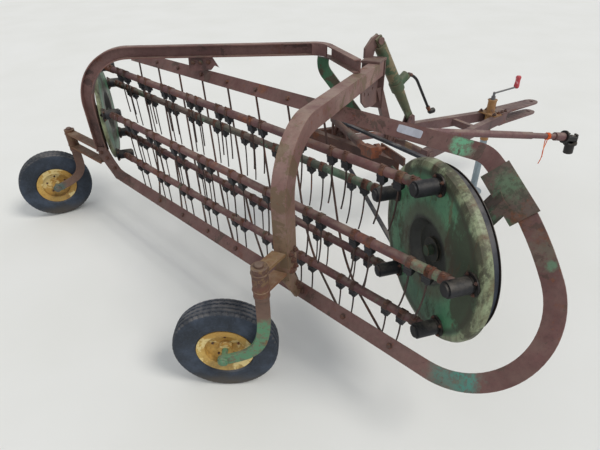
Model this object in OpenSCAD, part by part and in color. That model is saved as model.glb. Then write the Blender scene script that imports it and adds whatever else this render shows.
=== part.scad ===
// Rotary parallel-bar side-delivery hay rake, towed, with a belt-driven reel
// Millimetres, +X is the reel shafts' direction and points forward, +Y is the machine's left, +Z is up.
// Places are first given from the centre of the front reel head, then moved so that the hitch pin is the origin.

/* [Reel] */
// Angle between the tooth bars and the reel shafts
bar_angle = 59; // [45:1:70]
// Distance between a bar's two pivots
bar_len = 2088; // [1600:1:2600]
// Radius of the circle that the bar pivots run on
bar_circle_r = 267; // [220:1:320]
// Turn of the reel: height angle of the first bar
bar_phase = 87; // [0:1:359]
// Outer radius of a bar's tube
bar_r = 17; // [12:0.5:25]
// Wall of a bar's tube
bar_wall = 3; // [2:0.5:5]
// Distance from the head's centre plane to the bar's centre line at its pivot
pivot_reach = 49; // [40:1:70]
// Radius of a bar's end knuckle
knuckle_r = 27; // [22:1:36]
// Length of a bar's end knuckle
knuckle_len = 72; // [50:1:90]
// Radius of a bar's pivot pin
pin_r = 11; // [8:0.5:14]

/* [Teeth] */
// Pairs of teeth on a bar
tooth_pairs = 9; // [6:1:10]
// From the front pivot to the first pair
tooth_first = 135; // [100:1:200]
// Distance between the pairs
tooth_pitch = 217; // [180:1:230]
// Distance between the two teeth of a pair
tooth_gap = 65; // [50:1:80]
// Radius of a tooth's wire
tooth_r = 3.2; // [2.5:0.1:5]
// Reach of a tooth's tip below its bar's centre line
tooth_drop = 238; // [180:1:250]
// Width of a tooth's rubber mount along the bar
mount_w = 30; // [24:1:44]
// Height of a tooth's rubber mount below the tube
mount_h = 34; // [24:1:40]
// Bend radius of the teeth, seen along the reel shafts
tooth_bend_r = 480; // [400:10:2000]

/* [Reel heads] */
// Radius of the front head over its rolled rim
head_r = 320; // [290:1:360]
// Radius of the rear head over its rolled rim
rear_head_r = 279; // [275:1:300]
// Thickness of the pressed head plate
head_plate = 4; // [3:0.5:8]
// Depth of the front head's rolled rim
head_rim = 34; // [20:1:50]
// Depth of the rear head's rolled rim
rear_head_rim = 18; // [18:1:30]
// Radius of the sunk middle of the head
head_dish_r = 104; // [80:1:140]
// Depth of the sunk middle of the head
head_dish = 30; // [15:1:40]
// Radius of the head's shaft
shaft_r = 19; // [15:0.5:25]
// Radius of the large sheave over its flanges
sheave_r = 299; // [280:1:310]

/* [Belt drive] */
// Distance of the small sheave to the left of the head's shaft
drive_y = 1000; // [900:5:1100]
// Height of the small sheave's shaft from the head's shaft
drive_z = -20; // [-60:1:60]
// Radius of the small sheave over its flanges
drive_r = 100; // [70:1:130]
// Middle plane of the belt, in front of the head's plane
belt_x = 50; // [46:1:70]
// Width of the belt at its outside
belt_w = 17; // [12:1:22]
// Height of the belt's section
belt_h = 11; // [8:1:14]

/* [Rail loop] */
// Lean of the loop's plane about the bars' direction
loop_lean = 33.2; // [20:0.1:45]
// Middle of the upper rail above the reel's centre, in the loop's plane
loop_top = 371; // [340:1:400]
// Distance of the loop's plane behind the head's centre
loop_back = -30; // [-60:1:0]
// Start of the front end's bend, along the bars
loop_start = -10; // [-140:1:0]
// Fall of the upper rail towards its rear end
loop_fall = 1.2; // [0:0.1:3]
// Length of the upper rail behind its bend
loop_top_len = 2240; // [1800:1:2400]
// Length of the lower rail behind its bend
loop_low_len = 2160; // [1800:1:2400]
// Width of the rail, measured in the loop's plane
rail_w = 62; // [50:1:100]
// Thickness of the rail's web
rail_t = 6; // [5:0.5:12]
// Depth of the rail's lip
rail_lip = 14; // [10:1:35]
// Radius of a stripper rod
strip_r = 5; // [3:0.5:8]
// Lowest line of the stripper rods below the head's centre
strip_low = 338; // [330:1:380]
// Radius that the stripper rods wrap round the reel on
strip_bend_r = 330; // [320:1:360]

/* [Frame arches] */
// Height of an arch's box section
arch_h = 72; // [60:1:100]
// Width of an arch's box section
arch_w = 56; // [40:1:76]
// Wall of an arch's box section
arch_wall = 5; // [3:0.5:8]
// Height of the rear arch's channel section
rear_arch_h = 60; // [50:1:80]
// Width of the rear arch's channel section
rear_arch_w = 34; // [28:1:50]
// Height of the front arch's top above the head's centre
front_arch_top = 412; // [400:1:440]
// Height of the rear arch's top above the head's centre
rear_arch_top = 426; // [420:1:440]
// Direction of the front arch, from the shafts' direction
front_arch_turn = 51; // [40:0.5:60]
// Foot of the front arch
front_arch_x = -560; // [-700:1:-400]
// Foot of the front arch, to the left
front_arch_y = 120; // [0:1:250]
// Length of the front arch from its foot
front_arch_len = 1290; // [1000:1:1500]
// Fall of the front arch towards its forward end
front_arch_fall = 4.5; // [0:0.5:8]
// Direction of the rear arch, from the shafts' direction
rear_arch_turn = -16; // [-25:0.5:0]
// Foot of the rear arch, from the rear head's centre
rear_arch_x = -296; // [-330:1:-290]
// Foot of the rear arch, to the left of the rear head's centre
rear_arch_y = -156; // [-200:1:-150]
// Length of the rear arch from its foot to its forward bend
rear_arch_len = 1480; // [1300:1:1600]
// Outer bend radius of the front arch
front_bend = 250; // [180:1:320]
// Outer bend radius of the rear arch
rear_bend = 309; // [180:1:330]
// Outer radius of the rear arch's forward bend
nose_bend = 110; // [90:1:160]
// Angle of the rear arch's forward bend, to the right
nose_turn = 68; // [50:1:75]
// Length of the rear arch in front of its forward bend
nose_len = 300; // [200:1:320]
// Lower end of the arches' legs, from the head's centre
leg_z = -150; // [-250:1:-50]

/* [Casters] */
// Height of the reel shafts above the floor
reel_height = 711; // [650:1:800]
// Radius of the tyre
tyre_r = 218; // [190:1:240]
// Width of the tyre
tyre_w = 106; // [80:1:130]
// Radius of the wheel rim
rim_r = 118; // [100:1:125]
// Trail of a caster wheel behind its swivel
caster_trail = 178; // [150:1:260]
// Sideways distance between a caster's swivel and its wheel
caster_side = 85; // [70:1:110]
// Radius of the swivel sleeve
sleeve_r = 30; // [24:1:40]
// Length of the swivel sleeve
sleeve_len = 124; // [90:1:180]
// Radius of the swivel pin
swivel_r = 16; // [12:1:20]

/* [Tongue] */
// Tongue hinge, in front of the head's centre
hinge_x = 430; // [350:1:520]
// Tongue hinge, left of the head's centre
hinge_y = 1050; // [950:1:1150]
// Tongue hinge, above the head's centre
hinge_z = -115; // [-150:1:-50]
// Direction of the tongue, from the shafts' direction
tongue_turn = 19; // [0:0.5:30]
// Fall of the tongue towards its hitch
tongue_fall = 3.5; // [0:0.5:10]
// Length of the tongue from its hinge to the hitch pin
tongue_len = 1250; // [1000:1:1600]
// Distance between the tongue's two beams at the hinge
tongue_spread = 370; // [250:1:450]
// Height of the tongue's beams
tongue_h = 60; // [50:1:90]
// Width of the tongue's beams
tongue_w = 38; // [30:1:60]
// Radius of the hitch pin hole
hitch_hole_r = 14; // [10:0.5:17]

/* [Jack] */
// Distance of the jack behind the front ends of the tongue's beams
jack_back = 115; // [90:1:200]
// Radius of the jack's outer tube
jack_r = 26; // [20:1:32]

/* [Hidden] */
$fn = 48;

bar_count = 5;
bar_turn = 180 - bar_angle;
bar_dir = [cos(bar_turn), sin(bar_turn), 0];
floor_z = -reel_height;
fit = 0.08;
// A bent piece is thicker by the seam than the straight one that runs into it by the lap
seam = 0.25;
lap = 2;

function bar_theta(i) = bar_phase - i * 360 / bar_count;
function bar_spot(i) = [0, -bar_circle_r * cos(bar_theta(i)), bar_circle_r * sin(bar_theta(i))];
function along(s) = bar_dir * s;
function turned(v, a) = [v[0] * cos(a) - v[1] * sin(a), v[0] * sin(a) + v[1] * cos(a), v[2]];

// Hitch pin, from the front head's centre
hinge_at = [hinge_x, hinge_y, hinge_z];
hitch_at = hinge_at + turned([tongue_len * cos(tongue_fall), 0, -tongue_len * sin(tongue_fall)], tongue_turn);

// A cylinder from one point to another
module rod(a, b, r) {
    v = b - a;
    len = norm(v);
    translate(a) rotate([0, acos(v[2] / len), atan2(v[1], v[0])]) cylinder(r = r, h = len);
}

// A cylinder along X, centred on the axis
module x_cyl(r, x0, x1) translate([x0, 0, 0]) rotate([0, 90, 0]) cylinder(r = r, h = x1 - x0);
// A cylinder along Y, centred on the axis
module y_cyl(r, y0, y1) translate([0, y0, 0]) rotate([-90, 0, 0]) cylinder(r = r, h = y1 - y0);
module block(lo, hi) translate(lo) cube(hi - lo);

// A flat bar from one point to another: w across and level, t thick
module strut(a, b, w, t) {
    v = b - a;
    len = norm(v);
    translate(a) rotate([0, acos(v[2] / len), atan2(v[1], v[0])]) block([-t / 2, -w / 2, 0], [t / 2, w / 2, len]);
}

// From the head's centre to the hitch pin's frame
module placed() translate(-hitch_at) children();

// Local X runs along the bars
module bar_frame() rotate([0, 0, bar_turn]) children();

// Local X runs along the bars, Z up in the loop's plane, Y behind it
module loop_frame() bar_frame() rotate([loop_lean, 0, 0]) translate([0, loop_back, 0]) children();

// The rear head's frame: the front head's, mirrored
rear_head_at = along(bar_len) - [2 * pivot_reach, 0, 0];
module rear_head_frame() translate(rear_head_at) mirror([1, 0, 0]) children();

/* Bars and teeth */

module bar_place(i) translate(bar_spot(i) - [pivot_reach, 0, 0]) children();

module tube_line(r) bar_frame() x_cyl(r, 0, bar_len);

module bar(i) color("rosybrown") placed() bar_place(i) difference() {
    bar_frame() x_cyl(bar_r, 4, bar_len - 4);
    bar_frame() x_cyl(bar_r - bar_wall, 3, bar_len - 3);
}

// End knuckle: a black bearing carrier on the pivot pin, with the tube's end in it
flange_face = 22;
module knuckle(tube_turn) {
    back = pivot_reach - flange_face - 2;
    difference() {
        union() {
            x_cyl(knuckle_r, back - knuckle_len, back);
            x_cyl(knuckle_r - 6, back - knuckle_len - 8, back - knuckle_len + 1);
        }
        rotate([0, 0, tube_turn]) x_cyl(bar_r, 4, 120);
    }
    x_cyl(pin_r, back - 1, pivot_reach - 6);
}

module mount() {
    difference() {
        union() {
            translate([0, 0, -bar_r + 3]) rotate([0, 90, 0]) translate([0, 0, -mount_w / 2]) cylinder(r = bar_r - 1, h = mount_w);
            block([-mount_w / 2, -13, -bar_r - mount_h + 10], [mount_w / 2, 13, -bar_r + 6]);
            translate([0, 0, -bar_r - mount_h]) cylinder(r1 = 8, r2 = 13, h = 14);
        }
        x_cyl(bar_r, -mount_w, mount_w);
    }
}

function tooth_at(k, side) = tooth_first + k * tooth_pitch + side * tooth_gap / 2;

module mounts(i) color([0.12, 0.12, 0.14]) placed() bar_place(i) {
    knuckle(bar_turn);
    translate(along(bar_len)) mirror([1, 0, 0]) knuckle(-bar_turn);
    difference() {
        for (k = [0 : tooth_pairs - 1], side = [-1, 1])
            translate(along(tooth_at(k, side))) bar_frame() mount();
        teeth_rods(0.05);
    }
}

// A tooth hangs straight out of its mount and bends slightly forwards in the sweep
module tooth_rod(grow) {
    straight = 50;
    drop = tooth_drop - straight;
    sweep = asin(drop / tooth_bend_r);
    rod([0, 0, -bar_r - 8], [0, 0, -straight], tooth_r + grow);
    translate([0, tooth_bend_r, -straight]) rotate([0, 90, 0]) rotate([0, 0, -90])
        rotate_extrude(angle = sweep, $fn = 96) translate([tooth_bend_r, 0]) circle(r = tooth_r + grow, $fn = 16);
}

module teeth_rods(grow) for (k = [0 : tooth_pairs - 1], side = [-1, 1])
    translate(along(tooth_at(k, side))) tooth_rod(grow);

module teeth(i) color([0.25, 0.2, 0.2]) placed() bar_place(i) teeth_rods(0);

/* Reel heads */

// Half section of a pressed head: radius, then distance behind its face
module head_section(r, rim) polygon([
    [30, head_dish], [head_dish_r - 16, head_dish], [head_dish_r + 14, 0], [r - 22, 0], [r - 6, 5], [r, 16],
    [r, rim], [r - head_plate, rim], [r - head_plate, 17], [r - 9, 9], [r - 23, head_plate],
    [head_dish_r + 17, head_plate], [head_dish_r - 13, head_dish + head_plate], [30, head_dish + head_plate]
]);

module head(r, rim) translate([-flange_face + 12, 0, 0]) rotate([0, 90, 0]) {
    difference() {
        rotate_extrude($fn = 96) head_section(r, rim);
        for (i = [0 : bar_count - 1])
            translate([-bar_spot(i)[2], bar_spot(i)[1], -1]) cylinder(r = pin_r + fit, h = 30);
    }
    // Hub
    translate([0, 0, 20]) difference() {
        cylinder(r = 44, h = 42);
        translate([0, 0, -1]) cylinder(r = shaft_r + fit, h = 50);
    }
}

// Sheave: its belt lies between the flanges, a little off the groove's walls
groove_gap = 0.4;
belt_sink = 5;
module sheave_ring(r, web_r) translate([belt_x, 0, 0]) rotate([0, 90, 0]) rotate_extrude($fn = 96) {
    groove_r = r - belt_sink - belt_h - groove_gap;
    groove_w = belt_w / 2 + groove_gap;
    polygon([
        [web_r, -3], [r - 26, -3], [r - 26, -13], [r, -13], [r, -groove_w - 2], [groove_r, -groove_w],
        [groove_r, groove_w], [r, groove_w + 2], [r, 13], [r - 26, 13], [r - 26, 3], [web_r, 3]
    ]);
}

module front_head() color([0.62, 0.72, 0.58]) placed() {
    head(head_r, head_rim);
    sheave_ring(sheave_r, 43);
}

module pivot_flanges() for (i = [0 : bar_count - 1]) translate(bar_spot(i)) difference() {
    union() {
        x_cyl(38, -flange_face + 6, -flange_face + 12);
        x_cyl(26, -flange_face, -flange_face + 7);
    }
    x_cyl(pin_r + fit, -flange_face - 2, 0);
}

module front_pivots() color([0.15, 0.15, 0.16]) placed() pivot_flanges();
module rear_head() color([0.6, 0.7, 0.58]) placed() rear_head_frame() head(rear_head_r, rear_head_rim);
module rear_pivots() color([0.15, 0.15, 0.16]) placed() rear_head_frame() pivot_flanges();

/* Belt drive */

belt_big = sheave_r - belt_sink;
belt_small = drive_r - belt_sink;
belt_span = norm([drive_y, drive_z]);
belt_tilt = asin((belt_big - belt_small) / belt_span);
belt_lie = atan2(drive_z, drive_y);

// Outline of the belt loop in the plane of the sheaves: big circle, small circle and the two tangents
module belt_outline(out) {
    R = belt_big - out;
    r = belt_small - out;
    a = 90 - belt_tilt;
    circle(r = R, $fn = 96);
    translate([belt_span, 0]) circle(r = r, $fn = 64);
    polygon([
        [R * cos(a), R * sin(a)], [belt_span + r * cos(a), r * sin(a)],
        [belt_span + r * cos(a), -r * sin(a)], [R * cos(a), -R * sin(a)]
    ]);
}

module belt() color([0.1, 0.1, 0.13]) placed() translate([belt_x, 0, 0])
    rotate([belt_lie, 0, 0]) rotate([90, 0, 90]) translate([0, 0, -belt_w / 2]) linear_extrude(belt_w) difference() {
        belt_outline(0);
        belt_outline(belt_h);
    }

module drive_sheave() color([0.4, 0.35, 0.33]) placed() translate([0, drive_y, drive_z]) difference() {
    union() {
        sheave_ring(drive_r, 20);
        x_cyl(34, belt_x - 24, belt_x + 24);
    }
    x_cyl(shaft_r, 0, 120);
}

/* Rail loop and strippers */

// The front end's bends in turn: radius at the rail's middle, angle
LOOP_BENDS = [[95, 33.2], [1170, 21], [281, 127]];
bend_r = 0;
bend_a = 1;
// Heading before bend k, and the rail's middle there, as [along the bars, up]
function heading(k) = k == 0 ? 180 - loop_fall : heading(k - 1) + LOOP_BENDS[k - 1][bend_a];
function side_of(h) = [cos(h + 90), sin(h + 90)];
function bend_from(k) = k == 0 ? [loop_start, loop_top]
    : bend_from(k - 1) + LOOP_BENDS[k - 1][bend_r] * (side_of(heading(k - 1)) - side_of(heading(k)));
loop_foot = bend_from(len(LOOP_BENDS));

// Angle rail: web in the loop's plane, with a lip at its outer edge towards the far side
module rail_section(grow) {
    translate([-rail_w / 2 - grow, -rail_t / 2 - grow]) square([rail_w + 2 * grow, rail_t + 2 * grow]);
    translate([rail_w / 2 - rail_t - grow, -rail_lip - grow]) square([rail_t + 2 * grow, rail_lip + 2 * grow]);
}

module rail_straight(len, out) translate([-lap, 0, 0]) rotate([90, 0, 90]) linear_extrude(len + lap)
    rotate(90) mirror([out, 0]) mirror([0, 1]) rail_section(0);

// The upper rail is notched where the front arch lies over it
module rail_loop() color([0.5, 0.36, 0.34]) placed() difference() {
    rail_line();
    front_arch_space();
}

module rail_line() loop_frame() {
    translate([loop_start, 0, loop_top]) rotate([0, loop_fall, 0]) rail_straight(loop_top_len, 0);
    for (k = [0 : len(LOOP_BENDS) - 1]) {
        c = bend_from(k) + LOOP_BENDS[k][bend_r] * side_of(heading(k));
        // Every second bend runs into its neighbours
        ext = (k % 2) * lap / LOOP_BENDS[k][bend_r] * 180 / PI;
        translate([c[0], 0, c[1]]) rotate([90, 0, 0]) rotate([0, 0, heading(k) - 90 - ext])
            rotate_extrude(angle = LOOP_BENDS[k][bend_a] + 2 * ext, $fn = 128) translate([LOOP_BENDS[k][bend_r], 0])
                mirror([0, 1]) rail_section(seam * (1 - k % 2));
    }
    translate([loop_foot[0], 0, loop_foot[1]]) rail_straight(loop_low_len, 1);
}

// Directions in the loop's plane, up and towards the near side
loop_up = [sin(loop_lean) * sin(bar_turn), -sin(loop_lean) * cos(bar_turn), cos(loop_lean)];
loop_near = [-cos(loop_lean) * sin(bar_turn), cos(loop_lean) * cos(bar_turn), sin(loop_lean)];
// Point at x on a line of the loop's plane: w0 up at s = 0, falling by the angle, d to the near side
function rail_point(x, w0, fall, d) =
    let (s = (x - w0 * loop_up[0] - d * loop_near[0]) / (bar_dir[0] - tan(fall) * loop_up[0]))
    along(s) + loop_up * (w0 - s * tan(fall)) + loop_near * d;

strip_count = tooth_pairs - 1;
// From the rails' middle plane to the end of a stripper rod
strip_seat = rail_t / 2 + strip_r;
strip_slope = 6.8;
// Distance of the rods in front of the middle between two pairs of teeth
strip_lead = 30;

module stripper(k) {
    at = along(tooth_first + (k + 0.5) * tooth_pitch - strip_lead) - [pivot_reach, 0, 0];
    up = rail_point(at[0], loop_top + loop_start * tan(loop_fall), loop_fall, loop_back - strip_seat) - at;
    low = rail_point(at[0], loop_foot[1], 0, loop_back - rail_t / 2) - at;
    c = [0, strip_bend_r - strip_low];
    v = [up[1], up[2]] - c;
    phi = atan2(v[1], v[0]) - acos(strip_bend_r / norm(v));
    touch = c + strip_bend_r * [cos(phi), sin(phi)];
    translate(at) {
        rod([0, low[1] + strip_slope, -strip_low], [0, lap, -strip_low], strip_r);
        translate([0, c[0], c[1]]) rotate([90, 0, 90]) rotate([0, 0, -90])
            rotate_extrude(angle = phi + 90, $fn = 96) translate([strip_bend_r, 0]) circle(r = strip_r + seam, $fn = 16);
        rod([0, touch[0] + lap * sin(phi), touch[1] - lap * cos(phi)], [0, up[1], up[2]], strip_r);
    }
}

module strippers() color([0.32, 0.22, 0.2]) placed() for (k = [0 : strip_count - 1]) stripper(k);

/* Arches */

// Box section of the front arch: its top side is x = 0
module box_section(grow) {
    wall = arch_wall + 2 * grow;
    translate([-arch_h - grow, -arch_w / 2 - grow]) difference() {
        square([arch_h + 2 * grow, arch_w + 2 * grow]);
        translate([wall, wall]) square([arch_h + 2 * grow - 2 * wall, arch_w + 2 * grow - 2 * wall]);
    }
}

// Channel section of the rear arch, open on its near side
module channel_section(grow) {
    wall = arch_wall + 2 * grow;
    translate([-rear_arch_h - grow, -rear_arch_w / 2 - grow]) difference() {
        square([rear_arch_h + 2 * grow, rear_arch_w + 2 * grow]);
        translate([wall, wall]) square([rear_arch_h + 2 * grow - 2 * wall, rear_arch_w + 1]);
    }
}

// Level run of an arch along X, its top at z = 0; the child is its section
module arch_run(len) translate([-lap, 0, 0]) rotate([0, 90, 0]) linear_extrude(len + lap) rotate(180) children();

// Leg, quarter bend and top of an arch in its own plane: X forward, Z up, from its foot.
// The children are its section and the thicker section of its bend
module arch(leg_x, top_z, len, fall, r, h) {
    turn = 90 + fall;
    c = [leg_x + r, 0, top_z - r];
    run = (len - leg_x - r * (1 + sin(fall))) / cos(fall);
    translate([leg_x, 0, leg_z]) linear_extrude(c[2] - leg_z + lap) translate([h, 0]) mirror([0, 1]) children(0);
    translate(c) rotate([90, 0, 0]) rotate([0, 0, 180 - turn]) rotate_extrude(angle = turn, $fn = 96)
        translate([r, 0]) children(1);
    translate(c) rotate([0, fall, 0]) translate([0, 0, r]) arch_run(run) children(0);
}

// Plate in an arch's plane: its outline, forward and up
module leg_plate(outline) rotate([90, 0, 0]) translate([0, 0, -plate_t / 2]) linear_extrude(plate_t) polygon(outline);

plate_t = 10;
front_leg_x = 80;
rear_leg_x = 226;
FRONT_LEG_PLATE = [[84, -160], [84, -130], [150, -130], [152, -152], [247, -315], [231, -345], [190, -335]];
REAR_LEG_PLATE = [[229, -175], [229, -130], [283, -130], [305, -210], [330, -275], [368, -318], [350, -346], [290, -335]];
// Hanger from the rear arch to the upper rail
HANGER = [[838, 300], [842, 368], [962, 368], [1000, 300]];
// Gap between plates that are bolted together
joint_gap = 0.4;

// What lies on the far side of the rails' near face: the plates end there
module behind_rails() loop_frame() for (w = [loop_foot[1], loop_top])
    block([-loop_low_len, -300, w - rail_w], [loop_low_len, rail_t / 2 + joint_gap, w + rail_w / 2 + 1]);

module front_arch_frame() translate([front_arch_x, front_arch_y, 0]) rotate([0, 0, front_arch_turn])
    translate([0, -arch_w / 2, 0]) children();
rear_foot = rear_head_at + [rear_arch_x, rear_arch_y, 0];
module rear_arch_frame() translate(rear_foot) rotate([0, 0, rear_arch_turn]) children();

module front_arch() color([0.62, 0.48, 0.46]) placed() {
    front_arch_frame() arch(front_leg_x, front_arch_top, front_arch_len, front_arch_fall, front_bend, arch_h) {
        box_section(0);
        box_section(seam);
    }
    difference() {
        front_arch_frame() leg_plate(FRONT_LEG_PLATE);
        behind_rails();
    }
}

// The space that the front arch's upper run takes up
module front_arch_space() front_arch_frame()
    translate([front_leg_x + front_bend, 0, front_arch_top - front_bend]) rotate([0, front_arch_fall, 0])
        block([0, -arch_w / 2 - joint_gap, front_bend - arch_h - joint_gap],
              [front_arch_len, arch_w / 2 + joint_gap, front_bend + joint_gap]);

module rear_arch() color([0.5, 0.34, 0.34]) placed() {
    rear_arch_frame() {
        arch(rear_leg_x, rear_arch_top, rear_arch_len + lap, 0, rear_bend, rear_arch_h) {
            channel_section(0);
            channel_section(seam);
        }
        translate([rear_arch_len, rear_arch_w / 2 - nose_bend, rear_arch_top]) {
            rotate([0, 0, 90 - nose_turn]) rotate_extrude(angle = nose_turn, $fn = 96)
                translate([nose_bend - rear_arch_w / 2, 0]) rotate(-90) mirror([1, 0]) channel_section(seam);
            rotate([0, 0, -nose_turn]) translate([0, nose_bend - rear_arch_w / 2, 0]) arch_run(nose_len)
                channel_section(0);
        }
    }
    difference() {
        rear_arch_frame() {
            leg_plate(REAR_LEG_PLATE);
            leg_plate(HANGER);
        }
        behind_rails();
    }
}

/* Casters */

// Wheel centres over the floor, and the wheels' headings
front_wheel = [-727, 229];
front_wheel_turn = 164;
rear_wheel_off = [-461, 142];
rear_wheel = [rear_head_at[0], rear_head_at[1]] + rear_wheel_off;
rear_wheel_turn = 193;
// Tops of the swivel sleeves, from the head's centre
front_sleeve_top = -10;
rear_sleeve_top = -120;

// Swivel that trails a wheel
function swivel_of(c, a) = [c[0] - caster_trail * cos(a) - caster_side * sin(a),
                            c[1] - caster_trail * sin(a) + caster_side * cos(a)];
front_swivel = swivel_of(front_wheel, front_wheel_turn);
rear_swivel = swivel_of(rear_wheel, rear_wheel_turn);

module caster_frame(s, a) translate([s[0], s[1], 0]) rotate([0, 0, a]) children();

// Swivel pin, flat arm down one side of the tyre and axle
module caster_arm(top) {
    hub_z = floor_z + tyre_r;
    low = top - sleeve_len;
    translate([0, 0, low - 10]) cylinder(r = swivel_r, h = sleeve_len + 22);
    translate([0, 0, low - 14]) cylinder(r = sleeve_r, h = 13.5);
    translate([0, 8, 0]) rotate([90, 0, 0]) linear_extrude(16) difference() {
        polygon([[-26, low - 2], [26, low - 2], [40, hub_z + 150], [caster_trail + 30, hub_z + 22],
                 [caster_trail + 26, hub_z - 22], [caster_trail - 30, hub_z - 26], [20, hub_z + 70], [-24, hub_z + 150]]);
    }
    translate([caster_trail, 0, hub_z]) {
        y_cyl(axle_r, -caster_side - 40, 18);
        y_cyl(20, 8, 18);
    }
}

axle_r = 12;

// Wheel at its own centre, its axle along Y
module rim_shape() difference() {
    rotate([90, 0, 0]) rotate_extrude($fn = 72) polygon([
        [axle_r + fit, -36], [28, -36], [28, -10], [84, -18], [84, -40], [rim_r, -46], [rim_r, -41], [rim_r - 12, -34],
        [rim_r - 12, 34], [rim_r, 41], [rim_r, 46], [84, 40], [84, 0], [28, 8], [28, 36], [axle_r + fit, 36]
    ]);
}

module tyre_shape() rotate([90, 0, 0]) rotate_extrude($fn = 72) polygon([
    [rim_r - 11.5, -33], [rim_r + 0.4, -40.5], [rim_r + 6, -48], [rim_r + 40, -tyre_w / 2], [tyre_r - 34, -tyre_w / 2],
    [tyre_r - 10, -tyre_w / 2 + 10], [tyre_r, -tyre_w / 2 + 24], [tyre_r, tyre_w / 2 - 24],
    [tyre_r - 10, tyre_w / 2 - 10], [tyre_r - 34, tyre_w / 2], [rim_r + 40, tyre_w / 2], [rim_r + 6, 48],
    [rim_r + 0.4, 40.5], [rim_r - 11.5, 33]
]);

module wheel_place() translate([caster_trail, -caster_side, floor_z + tyre_r]) children();

module front_caster() placed() caster_frame(front_swivel, front_wheel_turn) children();
module rear_caster() placed() caster_frame(rear_swivel, rear_wheel_turn) children();

module front_caster_arm() color([0.5, 0.62, 0.46]) front_caster() caster_arm(front_sleeve_top);
module rear_caster_arm() color([0.5, 0.55, 0.42]) rear_caster() caster_arm(rear_sleeve_top);
module front_rim() color([0.85, 0.65, 0.2]) front_caster() wheel_place() rim_shape();
module rear_rim() color([0.85, 0.65, 0.2]) rear_caster() wheel_place() rim_shape();
module front_tyre() color([0.12, 0.13, 0.15]) front_caster() wheel_place() tyre_shape();
module rear_tyre() color([0.12, 0.13, 0.15]) rear_caster() wheel_place() tyre_shape();

// Swivel sleeve with two plates that end at an arch's leg: leg is its middle, turn the arch's direction,
// half its section's half sizes and side the side of the leg that the sleeve is on
module caster_bracket(s, top, leg, turn, half, side) {
    v = leg - s;
    reach = norm(v);
    difference() {
        union() {
            translate([s[0], s[1], top - sleeve_len]) cylinder(r = sleeve_r, h = sleeve_len);
            translate([s[0], s[1], 0]) rotate([0, 0, atan2(v[1], v[0])])
                for (z = [top - sleeve_len + 10, top - 24]) block([0, -26, z], [reach, 26, z + 12]);
        }
        translate([s[0], s[1], top - sleeve_len - 1]) cylinder(r = swivel_r + fit, h = sleeve_len + 2);
        translate([leg[0], leg[1], -300]) rotate([0, 0, turn])
            block([-half[0] - joint_gap, side > 0 ? -200 : -half[1] - joint_gap, 0],
                  [200, side > 0 ? half[1] + joint_gap : 200, 600]);
    }
}

// Middle of an arch's leg, a along its foot and n to its left
function arch_leg(x, y, turn, a, n) = [x, y] + a * [cos(turn), sin(turn)] + n * [-sin(turn), cos(turn)];

module front_caster_bracket() color([0.7, 0.58, 0.42]) placed() caster_bracket(front_swivel, front_sleeve_top,
    arch_leg(front_arch_x, front_arch_y, front_arch_turn, front_leg_x + arch_h / 2, -arch_w / 2), front_arch_turn,
    [arch_h / 2, arch_w / 2], -1);
module rear_caster_bracket() color([0.6, 0.5, 0.38]) placed() caster_bracket(rear_swivel, rear_sleeve_top,
    arch_leg(rear_foot[0], rear_foot[1], rear_arch_turn, rear_leg_x + rear_arch_h / 2, 0), rear_arch_turn,
    [rear_arch_h / 2, rear_arch_w / 2], 1);

/* Mast, hinge and drive supports */

// End of the front arch's axis, and the pin of the lift cylinder's upper end
front_end = [front_arch_x, front_arch_y, 0] + turned([front_arch_len, 0, 0], front_arch_turn);
lift_top = front_end + [30, 35.5, 425];
lift_pin_r = 12;
// Radius of the tongue's hinge shaft, and its bosses
hinge_r = 18;
hinge_boss_r = 30;
// Plate under the front arch's tail: back from the arch's end, and up
TAIL_PLATE = [[-305, 284], [-2, 260], [-2, 120], [-75, 125], [-210, 160], [-290, 215]];
TAIL_HOLES = [[-250, 240], [-180, 215], [-105, 225]];
// Lug that carries the lift cylinder, seen from the side of its pin: forward and up
LIFT_LUG = [[-84, -78], [-84, -30], [-40, 16], [-10, 26], [14, 22], [24, 4], [8, -22], [-16, -36], [-30, -78]];

module front_tail() front_arch_frame() translate([front_arch_len, 0, 0]) children();

// Heights of the end plate, and of the top plate that carries the lug
end_plate = [90, 336];
top_plate_z = 338.4;

module mast() color([0.45, 0.4, 0.36]) placed() {
    front_tail() {
        rotate([90, 0, 0]) translate([0, 0, -4]) linear_extrude(8) difference() {
            polygon(TAIL_PLATE);
            for (h = TAIL_HOLES) translate(h) circle(r = 11);
        }
        block([0.5, -34, end_plate[0]], [8.5, 34, end_plate[1]]);
        block([-3, -34, end_plate[0]], [1, 34, 250]);
        block([8, -34, 255], [13, 92, 325]);
        translate([0, 0, top_plate_z]) rotate([0, front_arch_fall, 0]) block([-100, -30, 0], [44, 66, 10]);
        block([0.5, -34, end_plate[1] - 1], [8.5, 34, top_plate_z + 4]);
    }
    translate(lift_top) rotate([0, 0, tongue_turn]) {
        rotate([90, 0, 0]) translate([0, 0, -8]) linear_extrude(16) polygon(LIFT_LUG);
        y_cyl(lift_pin_r, -27, 27);
        y_cyl(lift_pin_r + 6, -33, -26);
    }
    strut(front_end + [30, -7.5, 200], hinge_at + [-46, 65, 3], 56, 36);
    translate(hinge_at) rotate([0, 0, tongue_turn]) {
        y_cyl(hinge_r, -tongue_spread / 2 - 30, tongue_spread / 2 + 30);
        y_cyl(hinge_boss_r, 42, 96);
    }
}

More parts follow.
